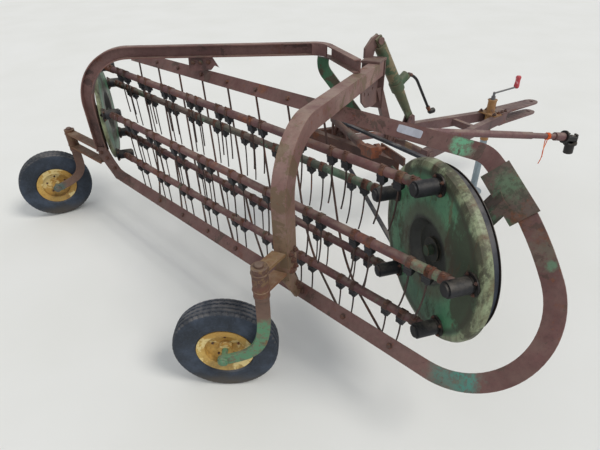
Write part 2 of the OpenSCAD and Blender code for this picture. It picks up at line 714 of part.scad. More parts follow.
// Curved arm on the near side of the rear arch, down to the drive's cross bar: middle of its curve as
// forward and up, its outer radius, width, thickness, the curve's two angles and the straight run after it
arm_at = [1636, 337];
arm_r = 130;
arm_w = 58;
arm_t = 26;
arm_from = 168;
arm_to = 217;
arm_run = 325;
module brace_arm() color([0.35, 0.45, 0.35]) placed() rear_arch_frame()
    translate([arm_at[0], -rear_arch_w / 2 - joint_gap, arm_at[1]]) rotate([90, 0, 0]) {
        rotate([0, 0, arm_from]) rotate_extrude(angle = arm_to - arm_from, $fn = 96)
            translate([arm_r - arm_w - seam, -seam]) square([arm_w + 2 * seam, arm_t + seam]);
        rotate([0, 0, arm_to]) translate([arm_r - arm_w, -lap, 0]) cube([arm_w, arm_run + lap, arm_t]);
    }

// Open channel from one point to another: web w wide on the upper side, flanges h deep
module channel(a, b, w, h, t) {
    v = b - a;
    len = norm(v);
    translate(a) rotate([0, acos(v[2] / len), atan2(v[1], v[0])]) {
        block([-h / 2, -w / 2, 0], [-h / 2 + t, w / 2, len]);
        for (side = [-1, 1]) block([-h / 2, min(side * w / 2, side * (w / 2 - t)), 0],
                                   [h / 2, max(side * w / 2, side * (w / 2 - t)), len]);
    }
}

// Place of the bearing arm's saddle on the loop, along the bars and up, and the rail's slope there
saddle_at = [-167, 282.6];
saddle_slope = 38.4;
module saddle_frame() loop_frame() translate([saddle_at[0], 0, saddle_at[1]]) rotate([0, -saddle_slope, 0]) children();

module front_head_bearing() color([0.3, 0.42, 0.33]) placed() {
    x_cyl(shaft_r, -10, 118);
    x_cyl(40, 74, 118);
    difference() {
        channel([222, -46, 203], [116, 0, 12], 80, 45, 6);
        saddle_frame() block([-200, -80, -31.5], [200, 3.4, 120]);
        saddle_frame() block([-200, 9, -31.5], [200, 60, 120]);
    }
    saddle_frame() block([-95, 3.4, -62], [95, 9.4, 38]);
    strut([114, 545, 14], [114, 20, 2], 8, 50);
}
module rear_head_bearing() color([0.3, 0.42, 0.33]) placed() {
    rear_head_frame() x_cyl(shaft_r, -10, 95);
    rear_arch_frame() translate([0, 0, -35]) linear_extrude(70) polygon(BEARING_ARM);
}
// Arm from the rear leg to the rear head's shaft: forward and left
BEARING_ARM = [[228, rear_arch_w / 2 + joint_gap], [278, rear_arch_w / 2 + joint_gap], [190, 170], [176, 250],
               [138, 250], [138, 160]];

// Distance of the drive's long angle beam in front of the reel's shaft, square to the bars
beam_off = 420;
// Middles of the drive shaft's two bearings along the shaft
DRIVE_BEARINGS = [100, 300];
cradle_y = 1112;

module drive_beam() color([0.3, 0.24, 0.24]) placed() {
    bar_frame() {
        block([400, -beam_off - 6, -10], [1085, -beam_off, 45]);
        block([400, -beam_off - 36, 39], [1085, -beam_off, 45]);
    }
    block([-205, cradle_y, -50], [328, cradle_y + 30, -5]);
    difference() {
        for (x = DRIVE_BEARINGS) {
            block([x - 5, drive_y - 38, -58], [x + 5, cradle_y + 5, 18]);
            translate([0, drive_y, drive_z]) x_cyl(34, x - 15, x + 15);
        }
        translate([0, drive_y, drive_z]) x_cyl(shaft_r + fit, 0, 500);
    }
}

module belt_tightener() color([0.4, 0.3, 0.26]) placed() {
    rod([5, 1024, 88], [5, 600, 113], 17);
    strut([5, 610, 108], [5, 500, 138], 34, 46);
    block([-3, 1006, -62], [5, 1026, 100]);
    block([-3, 1006, -62], [5, cradle_y - 0.5, -42]);
    translate([0, 575, 113]) x_cyl(8, 0, 96);
    translate([0, 575, 113]) x_cyl(26, 40, 60);
    strut([92, 620, 100], [92, 400, 128], 8, 36);
}

/* Tongue */

module tongue_frame() translate(hinge_at) rotate([0, 0, tongue_turn]) rotate([0, tongue_fall, 0]) children();

beam_end = tongue_len - 345;
beam_end_y = tongue_w / 2 + 14;
beam_back = 30;
// Sideways place of a tongue beam's middle, from the hinge forward
function beam_y(x) = tongue_spread / 2 + (x + beam_back) / (beam_end + beam_back) * (beam_end_y - tongue_spread / 2);

module tongue_beam(side) {
    a = [-beam_back, side * tongue_spread / 2];
    v = [beam_end, side * beam_end_y] - a;
    translate([a[0], a[1], 0]) rotate([0, 0, atan2(v[1], v[0])])
        block([0, -tongue_w / 2, -tongue_h / 2], [norm(v), tongue_w / 2, tongue_h / 2]);
}

// Lower pin of the lift cylinder in the tongue's frame
lift_low_local = [198, 150, 70];
lift_low_r = 9.5;
cross_x = 520;

module tongue() color([0.36, 0.24, 0.24]) placed() tongue_frame() {
    difference() {
        union() {
            for (side = [-1, 1]) {
                tongue_beam(side);
                y_cyl(hinge_boss_r, side * tongue_spread / 2 - 23, side * tongue_spread / 2 + 23);
            }
            block([cross_x, -beam_y(cross_x), -20], [cross_x + 30, beam_y(cross_x), 20]);
        }
        y_cyl(hinge_r + fit, -tongue_spread, tongue_spread);
    }
    translate(lift_low_local) {
        for (y = [-22, 14]) rotate([90, 0, 0]) translate([0, 0, -y - 8]) linear_extrude(8)
            polygon([[-34, -42], [-20, 10], [-8, 18], [8, 18], [20, 10], [34, -42]]);
        y_cyl(lift_low_r, -26, 26);
    }
}

// Outline of the hitch plates from above
HITCH_SIDE = [[beam_end - 73, 62], [beam_end, 54], [tongue_len, 42], [tongue_len + 34, 32], [tongue_len + 50, 14]];

module hitch_plates() color([0.45, 0.33, 0.3]) placed() tongue_frame() {
    for (z = [tongue_h / 2 + 0.4, -tongue_h / 2 - 10.4]) translate([0, 0, z]) linear_extrude(10) difference() {
        polygon(concat(HITCH_SIDE, [for (i = [len(HITCH_SIDE) - 1 : -1 : 0]) [HITCH_SIDE[i][0], -HITCH_SIDE[i][1]]]));
        translate([tongue_len, 0]) circle(r = hitch_hole_r);
    }
    block([beam_end + 8, -22, -tongue_h / 2 - 1], [beam_end + 40, 22, tongue_h / 2 + 1]);
}

// Jack frame: level, its origin at the hinge's height on the jack's axis
jack_x = beam_end - jack_back;
module jack_place() translate(hinge_at) rotate([0, 0, tongue_turn]) translate([jack_x, 0, 0]) children();
jack_top = 75;
jack_low = -195;
jack_wall = 3.5;
jack_floor = floor_z - hinge_z;
jack_lap = 60;

module jack_tube() color([0.85, 0.65, 0.25]) placed() difference() {
    union() {
        jack_place() translate([0, 0, jack_low]) cylinder(r = jack_r, h = jack_top - jack_low);
        tongue_frame() block([jack_x - 38, -62, tongue_h / 2 + 0.5], [jack_x + 37, 62, tongue_h / 2 + 8]);
    }
    jack_place() translate([0, 0, jack_low - 1]) cylinder(r = jack_r - jack_wall + fit, h = jack_top - jack_low - 4);
}
module jack_leg() color([0.6, 0.6, 0.6]) placed() jack_place() {
    translate([0, 0, jack_floor + 6]) cylinder(r = jack_r - jack_wall, h = jack_low + jack_lap - jack_floor - 6);
    translate([0, 0, jack_floor]) cylinder(r = 60, h = 8);
}
module jack_crank() color([0.85, 0.65, 0.25]) placed() jack_place() {
    translate([0, 0, jack_top + 0.3]) cylinder(r = 13, h = 22);
    translate([0, 0, jack_top + 10]) cylinder(r = 8, h = 38);
    rod([0, 0, jack_top + 42], [210, -12, jack_top + 42], 5.5);
    rod([210, -12, jack_top + 36], [210, -12, jack_top + 110], 12);
}

/* Lift cylinder */

lift_low = hinge_at + turned([lift_low_local[0] * cos(tongue_fall) + lift_low_local[2] * sin(tongue_fall), lift_low_local[1],
                              lift_low_local[2] * cos(tongue_fall) - lift_low_local[0] * sin(tongue_fall)], tongue_turn);
lift_run = lift_low - lift_top;
lift_len = norm(lift_run);
// Local Z runs from the upper pin to the lower one, Y along the pins
module lift_frame() translate(lift_top) rotate([0, acos(lift_run[2] / lift_len), atan2(lift_run[1], lift_run[0])]) children();
barrel_r = 33;
rod_r = 15;
gland_at = 290;
gland_end = 345;
port_at = 314;

module lift_barrel() color([0.35, 0.45, 0.36]) placed() lift_frame() difference() {
    union() {
        translate([0, 0, 32]) cylinder(r = barrel_r, h = gland_at - 30);
        translate([0, 0, gland_at]) cylinder(r = barrel_r + 5, h = gland_end - gland_at);
        translate([0, 0, port_at]) rotate([0, -90, 0]) cylinder(r = 27, h = 84);
        for (y = [-21, 9]) block([-20, y, -20], [20, y + 12, 34]);
    }
    y_cyl(lift_pin_r + fit, -30, 30);
    translate([0, 0, 150]) cylinder(r = rod_r + fit, h = lift_len);
}

// Play of the rod's eye on its pin
eye_play = 1.5;

module lift_rod() color([0.4, 0.5, 0.4]) placed() lift_frame() {
    translate([0, 0, 170]) cylinder(r = rod_r, h = lift_len - 220);
    translate([0, 0, gland_end + 0.5]) cylinder(r1 = 31, r2 = 24, h = lift_len - 70 - gland_end);
    difference() {
        block([-19, -12, lift_len - 72], [19, 12, lift_len + 20]);
        translate([0, 0, lift_len]) y_cyl(lift_low_r + eye_play, -20, 20);
    }
}

// Hydraulic hose from the port down to a capped coupler: a bend and a straight run in the tongue's direction
hose_from = lift_top + [242, 84, -223];
hose_r = 8;
hose_bend = 140;
hose_start_fall = 12;
hose_fall = 56;
hose_run = 252;

module lift_hose() color([0.1, 0.1, 0.1]) placed() translate(hose_from) rotate([0, 0, tongue_turn]) {
    x = hose_bend * (sin(hose_fall) - sin(hose_start_fall));
    z = hose_bend * (cos(hose_fall) - cos(hose_start_fall));
    translate([-hose_bend * sin(hose_start_fall), 0, -hose_bend * cos(hose_start_fall)]) rotate([90, 0, 0])
        rotate([0, 0, 90 - hose_fall]) rotate_extrude(angle = hose_fall - hose_start_fall, $fn = 96)
            translate([hose_bend, 0]) circle(r = hose_r + seam, $fn = 24);
    translate([x, 0, z]) rotate([0, 90 + hose_fall, 0]) translate([0, 0, -lap]) {
        cylinder(r = hose_r, h = hose_run + lap);
        translate([0, 0, hose_run]) rotate([0, -hose_fall, 0]) cylinder(r = 17, h = 34);
    }
}

/* Drive line */

// Middle of the universal joint, and the front end of the shaft in front of it
joint_at = [400, drive_y, drive_z];
pto_end = [1540, 970, -204];
pto_run = pto_end - joint_at;
pto_turn = atan2(pto_run[1], pto_run[0]);
pto_fall = asin(-pto_run[2] / norm(pto_run));
module pto_frame() translate(joint_at) rotate([0, 0, pto_turn]) rotate([0, pto_fall, 0]) children();

fork_in = 27;
fork_out = 37;
// Fork of a universal joint: ears on both sides in Y, from its back disc to the cross at x = 0
module fork(back) {
    for (y = [-fork_out, fork_in]) block([min(back, 12), y, -13], [max(back, -12), y + fork_out - fork_in, 13]);
    x_cyl(fork_out, min(back, back + 10), max(back, back + 10));
}

module drive_shaft() color([0.42, 0.25, 0.24]) placed() {
    translate([0, drive_y, drive_z]) x_cyl(shaft_r, 16, joint_at[0] - 40);
    translate(joint_at) rotate([90, 0, 0]) fork(-46);
}

tube_end = 852;
slip_end = 1022;
cross_at = 1152;

module pto_tube() color([0.45, 0.3, 0.28]) placed() pto_frame() {
    fork(36);
    sphere(r = 16);
    y_cyl(7, -30, 30);
    translate([0, 0, -25]) cylinder(r = 7, h = 50);
    x_cyl(21, 40, tube_end);
    x_cyl(17, tube_end - 1, slip_end);
    x_cyl(25, slip_end - 1, cross_at - 62);
}

yoke_bore_r = 17.5;
yoke_droop = 75;
yoke_disc_r = fork_out + 1.5;

module pto_yoke() color([0.1, 0.1, 0.1]) placed() pto_frame() translate([cross_at, 0, 0]) {
    for (y = [-fork_out, fork_in]) block([-61, y, -13], [12, y + fork_out - fork_in, 13]);
    x_cyl(yoke_disc_r, -61.5, -52);
    rotate([0, 0, 45]) sphere(r = 15);
    y_cyl(7, -30, 30);
    rotate([0, yoke_droop, 0]) {
        translate([0, 0, -30]) cylinder(r = 7, h = 60);
        for (z = [-fork_out, fork_in]) block([-12, -13, z], [42, 13, z + fork_out - fork_in]);
        difference() {
            union() {
                x_cyl(yoke_disc_r, 36, 46);
                x_cyl(28, 36, 104);
            }
            x_cyl(yoke_bore_r, 30, 110);
        }
    }
}

front_arch();
rear_arch();
rail_loop();
strippers();
mast();
brace_arm();
front_head_bearing();
rear_head_bearing();
front_caster_bracket();
rear_caster_bracket();
drive_beam();
belt_tightener();
belt();
front_head();
front_pivots();
rear_head();
rear_pivots();
bar(0);  // bar_1
bar(1);  // bar_2
bar(2);  // bar_3
bar(3);  // bar_4
bar(4);  // bar_5
mounts(0);  // mounts_1
mounts(1);  // mounts_2
mounts(2);  // mounts_3
mounts(3);  // mounts_4
mounts(4);  // mounts_5
teeth(0);  // teeth_1
teeth(1);  // teeth_2
teeth(2);  // teeth_3
teeth(3);  // teeth_4
teeth(4);  // teeth_5
drive_sheave();
drive_shaft();
pto_tube();
pto_yoke();
tongue();
hitch_plates();
jack_tube();
jack_leg();
jack_crank();
lift_barrel();
lift_hose();
lift_rod();
front_caster_arm();
front_rim();
front_tyre();
rear_caster_arm();
rear_rim();
rear_tyre();
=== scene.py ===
import bpy
import numpy as np
from bpy.props import FloatProperty, FloatVectorProperty, IntProperty, PointerProperty
from mathutils import Matrix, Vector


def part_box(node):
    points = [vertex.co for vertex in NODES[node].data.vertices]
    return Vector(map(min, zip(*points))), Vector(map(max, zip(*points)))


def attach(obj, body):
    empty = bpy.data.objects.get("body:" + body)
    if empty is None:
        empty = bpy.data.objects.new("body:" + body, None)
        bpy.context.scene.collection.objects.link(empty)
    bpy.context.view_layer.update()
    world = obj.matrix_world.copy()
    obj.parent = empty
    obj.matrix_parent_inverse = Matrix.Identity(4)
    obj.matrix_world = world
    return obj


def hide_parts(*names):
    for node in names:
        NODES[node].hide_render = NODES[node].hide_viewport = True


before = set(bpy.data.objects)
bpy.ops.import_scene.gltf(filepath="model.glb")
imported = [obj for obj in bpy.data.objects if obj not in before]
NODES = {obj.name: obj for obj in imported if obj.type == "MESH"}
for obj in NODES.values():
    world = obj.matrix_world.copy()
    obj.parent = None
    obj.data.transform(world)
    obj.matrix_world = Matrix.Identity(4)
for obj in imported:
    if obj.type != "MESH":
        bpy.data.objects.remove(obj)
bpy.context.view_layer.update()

bl_info = {
    "name": "Side-delivery hay rake",
    "version": (1, 0, 0),
    "blender": (4, 5, 0),
    "location": "3D View > Sidebar > Rake",
    "description": "Dresses the model of a parallel-bar hay rake: tyres, bolts, bands and worn finishes",
    "category": "Object",
}

# Places are written in millimetres from the centre of the front reel head
HITCH = np.array([1609.694, 1456.201, -191.311])
FLOOR_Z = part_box("front_tyre")[0].z
BAR_TURN = np.radians(121.0)
BAR_DIR = np.array([np.cos(BAR_TURN), np.sin(BAR_TURN), 0.0])
BARS, BAR_LEN, BAR_RADIUS, BAR_CIRCLE, BAR_PHASE = 5, 2088.0, 17.0, 267.0, 87.0
PIVOT_REACH = np.array([49.0, 0.0, 0.0])
TOOTH_FIRST, TOOTH_PITCH, TOOTH_GAP, TOOTH_PAIRS = 135.0, 217.0, 65.0, 9

# The rail loop's plane leans towards the near side
LEAN = np.radians(33.2)
LOOP_UP = np.array([np.sin(LEAN) * np.sin(BAR_TURN), -np.sin(LEAN) * np.cos(BAR_TURN), np.cos(LEAN)])
LOOP_NEAR = np.array([-np.cos(LEAN) * np.sin(BAR_TURN), np.cos(LEAN) * np.cos(BAR_TURN), np.sin(LEAN)])
LOOP_TOP, LOOP_START, LOOP_FALL, LOOP_LOW, LOOP_FACE = 371.0, -10.0, 1.2, -381.6, -27.0
Z_AXIS = np.array([0.0, 0.0, 1.0])
X_AXIS = np.array([1.0, 0.0, 0.0])

# Rear reel head, swivels, tongue hinge and arches' feet, from the front head's centre
REAR_HEAD = BAR_LEN * BAR_DIR - 2 * PIVOT_REACH
HUB_Z = -493.0
TONGUE_HINGE, TONGUE_TURN, TONGUE_FALL = np.array([430.0, 1050.0, -115.0]), np.radians(19.0), np.radians(3.5)
FRONT_ARCH, FRONT_ARCH_TURN, FRONT_ARCH_LEN = np.array([-560.0, 120.0, 0.0]), np.radians(51.0), 1290.0
REAR_ARCH, REAR_ARCH_TURN = REAR_HEAD + [-296.0, -156.0, 0.0], np.radians(-16.0)
JACK_X = 790.0
PTO_FROM, PTO_TO = np.array([400.0, 1000.0, -20.0]), np.array([1540.0, 970.0, -204.0])


def placed(points):
    """Millimetres from the front reel head's centre to metres from the hitch pin."""
    return (np.asarray(points, float) - HITCH) / 1000.0


def unit(v):
    """A vector, or each row of an array, divided by its length."""
    v = np.asarray(v, float)
    return v / np.linalg.norm(v, axis=-1, keepdims=True)


def angles(count):
    """Angles of a full turn."""
    return np.linspace(0, 2 * np.pi, count, endpoint=False)


def circle(t, x, y):
    """Points of the unit circle at the angles t, in the plane of two axes."""
    return np.cos(t)[..., None] * x + np.sin(t)[..., None] * y


def bar_spot(i):
    """Middle of bar i's front pivot: a point on the pivot circle, each bar a fifth of a turn on."""
    theta = np.radians(BAR_PHASE - 360.0 / BARS * i)
    return np.array([0.0, -BAR_CIRCLE * np.cos(theta), BAR_CIRCLE * np.sin(theta)])


def level_turn(angle):
    """Axes turned about the vertical: rows forward, left and up."""
    c, s = np.cos(angle), np.sin(angle)
    return np.array([[c, s, 0.0], [-s, c, 0.0], [0.0, 0.0, 1.0]])


def in_frame(origin, angle, points):
    """Points given as forward, left and up of a turned frame."""
    return origin + np.asarray(points, float) @ level_turn(angle)


def on_tongue(points):
    """Points of the tongue's frame, which falls towards the hitch."""
    p = np.asarray(points, float)
    c, s = np.cos(TONGUE_FALL), np.sin(TONGUE_FALL)
    tipped = np.stack([p[..., 0] * c + p[..., 2] * s, p[..., 1], p[..., 2] * c - p[..., 0] * s], -1)
    return in_frame(TONGUE_HINGE, TONGUE_TURN, tipped)


def on_loop(s, w, face=LOOP_FACE):
    """A point of the rail loop: s along the bars, w up its plane, and the face's place across it."""
    return np.multiply.outer(s, BAR_DIR) + np.multiply.outer(w, LOOP_UP) + face * LOOP_NEAR


# Sizes and colours


class RakeSizes(bpy.types.PropertyGroup):
    """Sizes of the dressed pieces, in millimetres unless a unit is given."""

    tread_depth: FloatProperty(name="Tread depth", description="Depth of the tyre's grooves", default=7.0)
    tread_groove: FloatProperty(name="Groove width", description="Width of a groove", default=5.2)
    tread_steps: IntProperty(name="Tread steps", description="Waves of a groove round the tyre", default=54)
    bolt_flat: FloatProperty(name="Bolt head", description="Width of a common bolt head", default=17.0)
    strap_wide: FloatProperty(name="Strap width", description="Width of a bar's strap clamp", default=26.0)
    weld_size: FloatProperty(name="Weld", description="Radius of a weld bead", default=4.5)
    twine_wide: FloatProperty(name="Twine", description="Thickness of the twine", default=5.0)


class RakeColours(bpy.types.PropertyGroup):
    """Colours that the finishes share, as they look on a screen."""

    rust_brown: FloatVectorProperty(
        name="Old rust", description="Dark dry rust", subtype="COLOR_GAMMA", default=(0.33, 0.21, 0.18))
    rust_orange: FloatVectorProperty(
        name="Fresh rust", description="Orange rust", subtype="COLOR_GAMMA", default=(0.56, 0.33, 0.2))
    dust: FloatVectorProperty(
        name="Dust", description="Dust on level faces", subtype="COLOR_GAMMA", default=(0.68, 0.63, 0.56))


def sizes():
    """The scene's sizes."""
    return bpy.context.scene.rake_sizes


def colours():
    """The scene's colours."""
    return bpy.context.scene.rake_colours


# Shader maths


def linear(colour):
    """A screen colour as light: each channel through the inverse of the screen's curve."""
    c = np.asarray(tuple(colour), float)
    return tuple(np.where(c <= 0.04045, c / 12.92, ((c + 0.055) / 1.055) ** 2.4))


class Wire:
    """A value in a material's nodes; its arithmetic adds Math nodes."""

    def __init__(self, finish, socket):
        self.finish, self.socket = finish, socket

    def __add__(self, other):
        return self.finish.math("ADD", self, other)

    def __sub__(self, other):
        return self.finish.math("SUBTRACT", self, other)

    def __rsub__(self, other):
        return self.finish.math("SUBTRACT", other, self)

    def __mul__(self, other):
        return self.finish.math("MULTIPLY", self, other)

    __radd__, __rmul__ = __add__, __mul__


class Finish:
    """One material: nodes on Object coordinates that end in one Principled shader."""

    def __init__(self, name):
        self.material = bpy.data.materials.new(name)
        self.material.use_nodes = True
        self.tree = self.material.node_tree
        self.tree.nodes.clear()
        self.shader = self.tree.nodes.new("ShaderNodeBsdfPrincipled")
        out = self.tree.nodes.new("ShaderNodeOutputMaterial")
        self.tree.links.new(self.shader.outputs[0], out.inputs[0])
        self.place = self.node("ShaderNodeTexCoord", out="Object")

    def feed(self, socket, value):
        """Puts a number, colour or wire into a socket."""
        if isinstance(value, Wire):
            self.tree.links.new(value.socket, socket)
        elif socket.type == "RGBA":
            socket.default_value = (*value, 1.0)
        else:
            socket.default_value = value

    def node(self, kind, settings=None, values=None, out=0):
        """Adds a node with its settings and the values of its sockets, and gives one output."""
        made = self.tree.nodes.new(kind)
        for key, value in (settings or {}).items():
            setattr(made, key, value)
        for key, value in (values or {}).items():
            self.feed(made.inputs[key], value)
        return Wire(self, made.outputs[out])

    def math(self, operation, a, b=0.0, clamp=False):
        """One Math node."""
        return self.node("ShaderNodeMath", {"operation": operation, "use_clamp": clamp}, {0: a, 1: b})

    def vector(self, operation, a, b=(0.0, 0.0, 0.0), out=0):
        """One Vector Math node."""
        return self.node("ShaderNodeVectorMath", {"operation": operation}, {0: a, 1: b}, out)

    def moved(self, scale=(1, 1, 1), shift=(0, 0, 0)):
        """Object coordinates scaled and shifted."""
        return self.node("ShaderNodeMapping", None, {0: self.place, 1: shift, 3: scale})

    def noise(self, kind, place=None, warp=0.0):
        """One of the cloudy noises, from 0 to 1."""
        scale, detail, rough = NOISES[kind]
        return self.node("ShaderNodeTexNoise", None, {
            "Vector": place or self.place, "Scale": scale, "Detail": detail, "Roughness": rough,
            "Distortion": warp})

    def step(self, value, low, high):
        """A smooth step from 0 at low to 1 at high."""
        return self.node("ShaderNodeMapRange", {"interpolation_type": "SMOOTHSTEP"},
                         {0: value, 1: low, 2: high, 3: 0.0, 4: 1.0})

    def mix(self, share, a, b):
        """Colour a, with a share of colour b."""
        return self.node("ShaderNodeMix", {"data_type": "RGBA"}, {0: share, 6: a, 7: b}, out=2)

    def cover(self, colour, share, tone):
        """A colour, with a share of a screen tone laid over it."""
        return self.mix(share, colour, linear(tone))

    def two(self, share, first, second):
        """A screen tone that turns into another by a share."""
        return self.mix(share, linear(first), linear(second))

    def part(self, axis, place=None):
        """One of the three coordinates."""
        return self.node("ShaderNodeSeparateXYZ", None, {0: place or self.place}, out=axis)

    def edges(self, radius):
        """Worn edges: 1 where the normal rounded over the radius differs from the face's own."""
        rounded = self.node("ShaderNodeBevel", {"samples": 4}, {0: radius})
        true = self.node("ShaderNodeNewGeometry", out="Normal")
        return self.step(1.0 - self.vector("DOT_PRODUCT", rounded, true, "Value"), *EDGE_TURN)

    def dusted(self, colour, amount):
        """A colour with dust where the surface faces up, broken up by noise."""
        up = self.part(2, self.node("ShaderNodeTexCoord", out="Normal"))
        patchy = self.step(self.noise("dust"), *DUST_PATCHES)
        return self.cover(colour, self.step(up, *DUST_SLOPES) * patchy * amount, colours().dust)

    def bump(self, height, metres, strength):
        """A bumped normal from a height that runs from 0 to 1."""
        values = {"Strength": strength, "Distance": metres, "Height": height}
        return self.node("ShaderNodeBump", None, values)

    def done(self, **sockets):
        """Feeds the shader's sockets, with _ for a blank, and gives the material."""
        for key, value in sockets.items():
            self.feed(self.shader.inputs[key.replace("_", " ")], value)
        return self.material


# Noises: waves in a metre, detail, roughness
NOISES = dict(
    paint=(3.1, 5, 0.62), fine=(60, 6, 0.7), ragged=(38, 7, 0.75),
    worn=(52, 8, 0.74), flakes=(7.3, 9, 0.72), rust=(5.2, 10, 0.76),
    specks=(34, 5, 0.65), pits=(120, 4, 0.7), edges=(21, 4, 0.7),
    grain=(190, 3, 0.6), dust=(12, 5, 0.7), head=(6, 9, 0.7),
    streaks=(13, 9, 0.72), head_fine=(70, 6, 0.7), grime=(4.2, 10, 0.74),
    rubber=(6, 7, 0.7), rubber_fine=(130, 5, 0.65), brushed=(24, 6, 0.65),
    steel_rust=(11, 9, 0.75), steel_fine=(90, 5, 0.7), floor=(1.4, 3, 0.5),
)
# Where the rounded normal turns enough for wear, the slopes that hold dust and the noise that breaks it up
EDGE_TURN, DUST_SLOPES, DUST_PATCHES = (0.05, 0.17), (0.25, 0.95), (0.32, 0.7)
# Noise at which flakes and rust begin and are full, when their share is 0
FLAKES_FROM, RUST_FROM, STEEL_RUST_FROM = np.array([[0.72, 0.735], [0.7, 0.8], [0.74, 0.82]])
# Tone of mud on a tyre, and cracks in a metre of rubber
MUD, CRACKS = (0.36, 0.32, 0.26), 55.0


def zone(f, kind, at, size, soft, ragged):
    """Share of a zone, 1 inside it: a ball round a point, a post round a vertical line, or all below a
    height. Noise makes its border ragged."""
    wobble = 5.0 * soft * (ragged - 0.5)
    if kind == "below":
        height = (at - HITCH[2]) / 1000
        return 1.0 - f.step(f.part(2) + wobble, height - soft, height + soft)
    ball = kind == "ball"
    away = f.vector("SUBTRACT", f.place, tuple(placed((*at[:2], at[2] if ball else 0.0))))
    away = f.vector("LENGTH", f.vector("MULTIPLY", away, (1.0, 1.0, float(ball))), out="Value")
    return 1.0 - f.step(away + wobble, size - soft, size + soft)


def weathered(name, main, second, patch, patch_share, rust_share, dust):
    """Old paint on steel: two shades, zones of their own colour, raised flakes of a third colour, rust in
    clouds and specks, pits, rusty worn edges and dust on top."""
    f = Finish(name)
    fine, ragged = f.noise("fine"), f.noise("ragged")
    colour = f.two(f.step(f.noise("paint"), 0.36, 0.64), main, second)
    colour = f.cover(colour, f.step(fine, 0.35, 0.75) * 0.4, np.array(second) * 0.66)
    kept = 1.0 - f.step(f.noise("worn"), 0.5, 0.56) * 0.6
    for kind, at, size, soft, tone, share in ZONES.get(name, ()):
        colour = f.cover(colour, zone(f, kind, at, size, soft, ragged) * share * kept, tone)
    flakes = f.noise("flakes", f.moved(shift=(3.1, 1.7, 0.4)), 0.4)
    left = f.step(flakes, *(FLAKES_FROM - 0.5 * patch_share))
    colour = f.cover(colour, left * 0.85, patch)
    clouds = f.noise("rust", f.moved(shift=(0.7, 5.3, 2.2)))
    specks = f.step(f.noise("specks"), 0.62, 0.7)
    pits = f.step(f.noise("pits"), 0.6, 0.72)
    rusty = f.math("MAXIMUM", f.step(clouds, *(RUST_FROM - 0.5 * rust_share)), specks * 0.75)
    worn = f.edges(0.004) * f.step(f.noise("edges"), 0.3, 0.6)
    rust = f.two(f.step(fine, 0.3, 0.72), colours().rust_brown, colours().rust_orange)
    colour = f.mix(f.math("MAXIMUM", rusty * 0.7, worn * 0.6, clamp=True), colour, rust)
    colour = f.cover(colour, pits * 0.45, np.array(main) * 0.45)
    height = 0.35 * left + 0.4 * fine + 0.25 * f.noise("grain") - 0.35 * rusty - 0.3 * pits
    return f.done(Base_Color=f.dusted(colour, dust), Roughness=0.62 + 0.22 * rusty,
                  Normal=f.bump(height, 0.0011, 0.55), Specular_IOR_Level=0.35)


# Tones of a reel head; the crease's and the dish's tones are painted shade
TONES = dict(
    shade=(0.2, 0.4, 0.29), green=(0.31, 0.5, 0.37), dull=(0.16, 0.29, 0.22),
    cream=(0.57, 0.6, 0.47), bare=(0.4, 0.36, 0.26), crease_shade=(0.16, 0.17, 0.13),
    grime=(0.2, 0.19, 0.14), foot=(0.13, 0.17, 0.12), grease=(0.25, 0.2, 0.16),
    dish_shade=(0.075, 0.078, 0.08), rust=(0.44, 0.29, 0.2), edge=(0.42, 0.36, 0.27),
    iron=(0.13, 0.12, 0.12), old_iron=(0.22, 0.17, 0.15),
)
# Rings of a reel head in metres: on its rim, from the rim's radius, and round its shaft
# The crease's rings bound painted shade in the groove inside the rim
RIM, CREASE_SHADE_IN, CREASE_SHADE_OUT = np.array([[-0.04, -0.016], [-0.06, -0.038], [-0.036, -0.024]])
# The dish's ring bounds painted shade in the hub's recess
GREASE, DISH_SHADE, FOOT = (0.15, 0.2), (0.118, 0.136), (-0.27, -0.12)


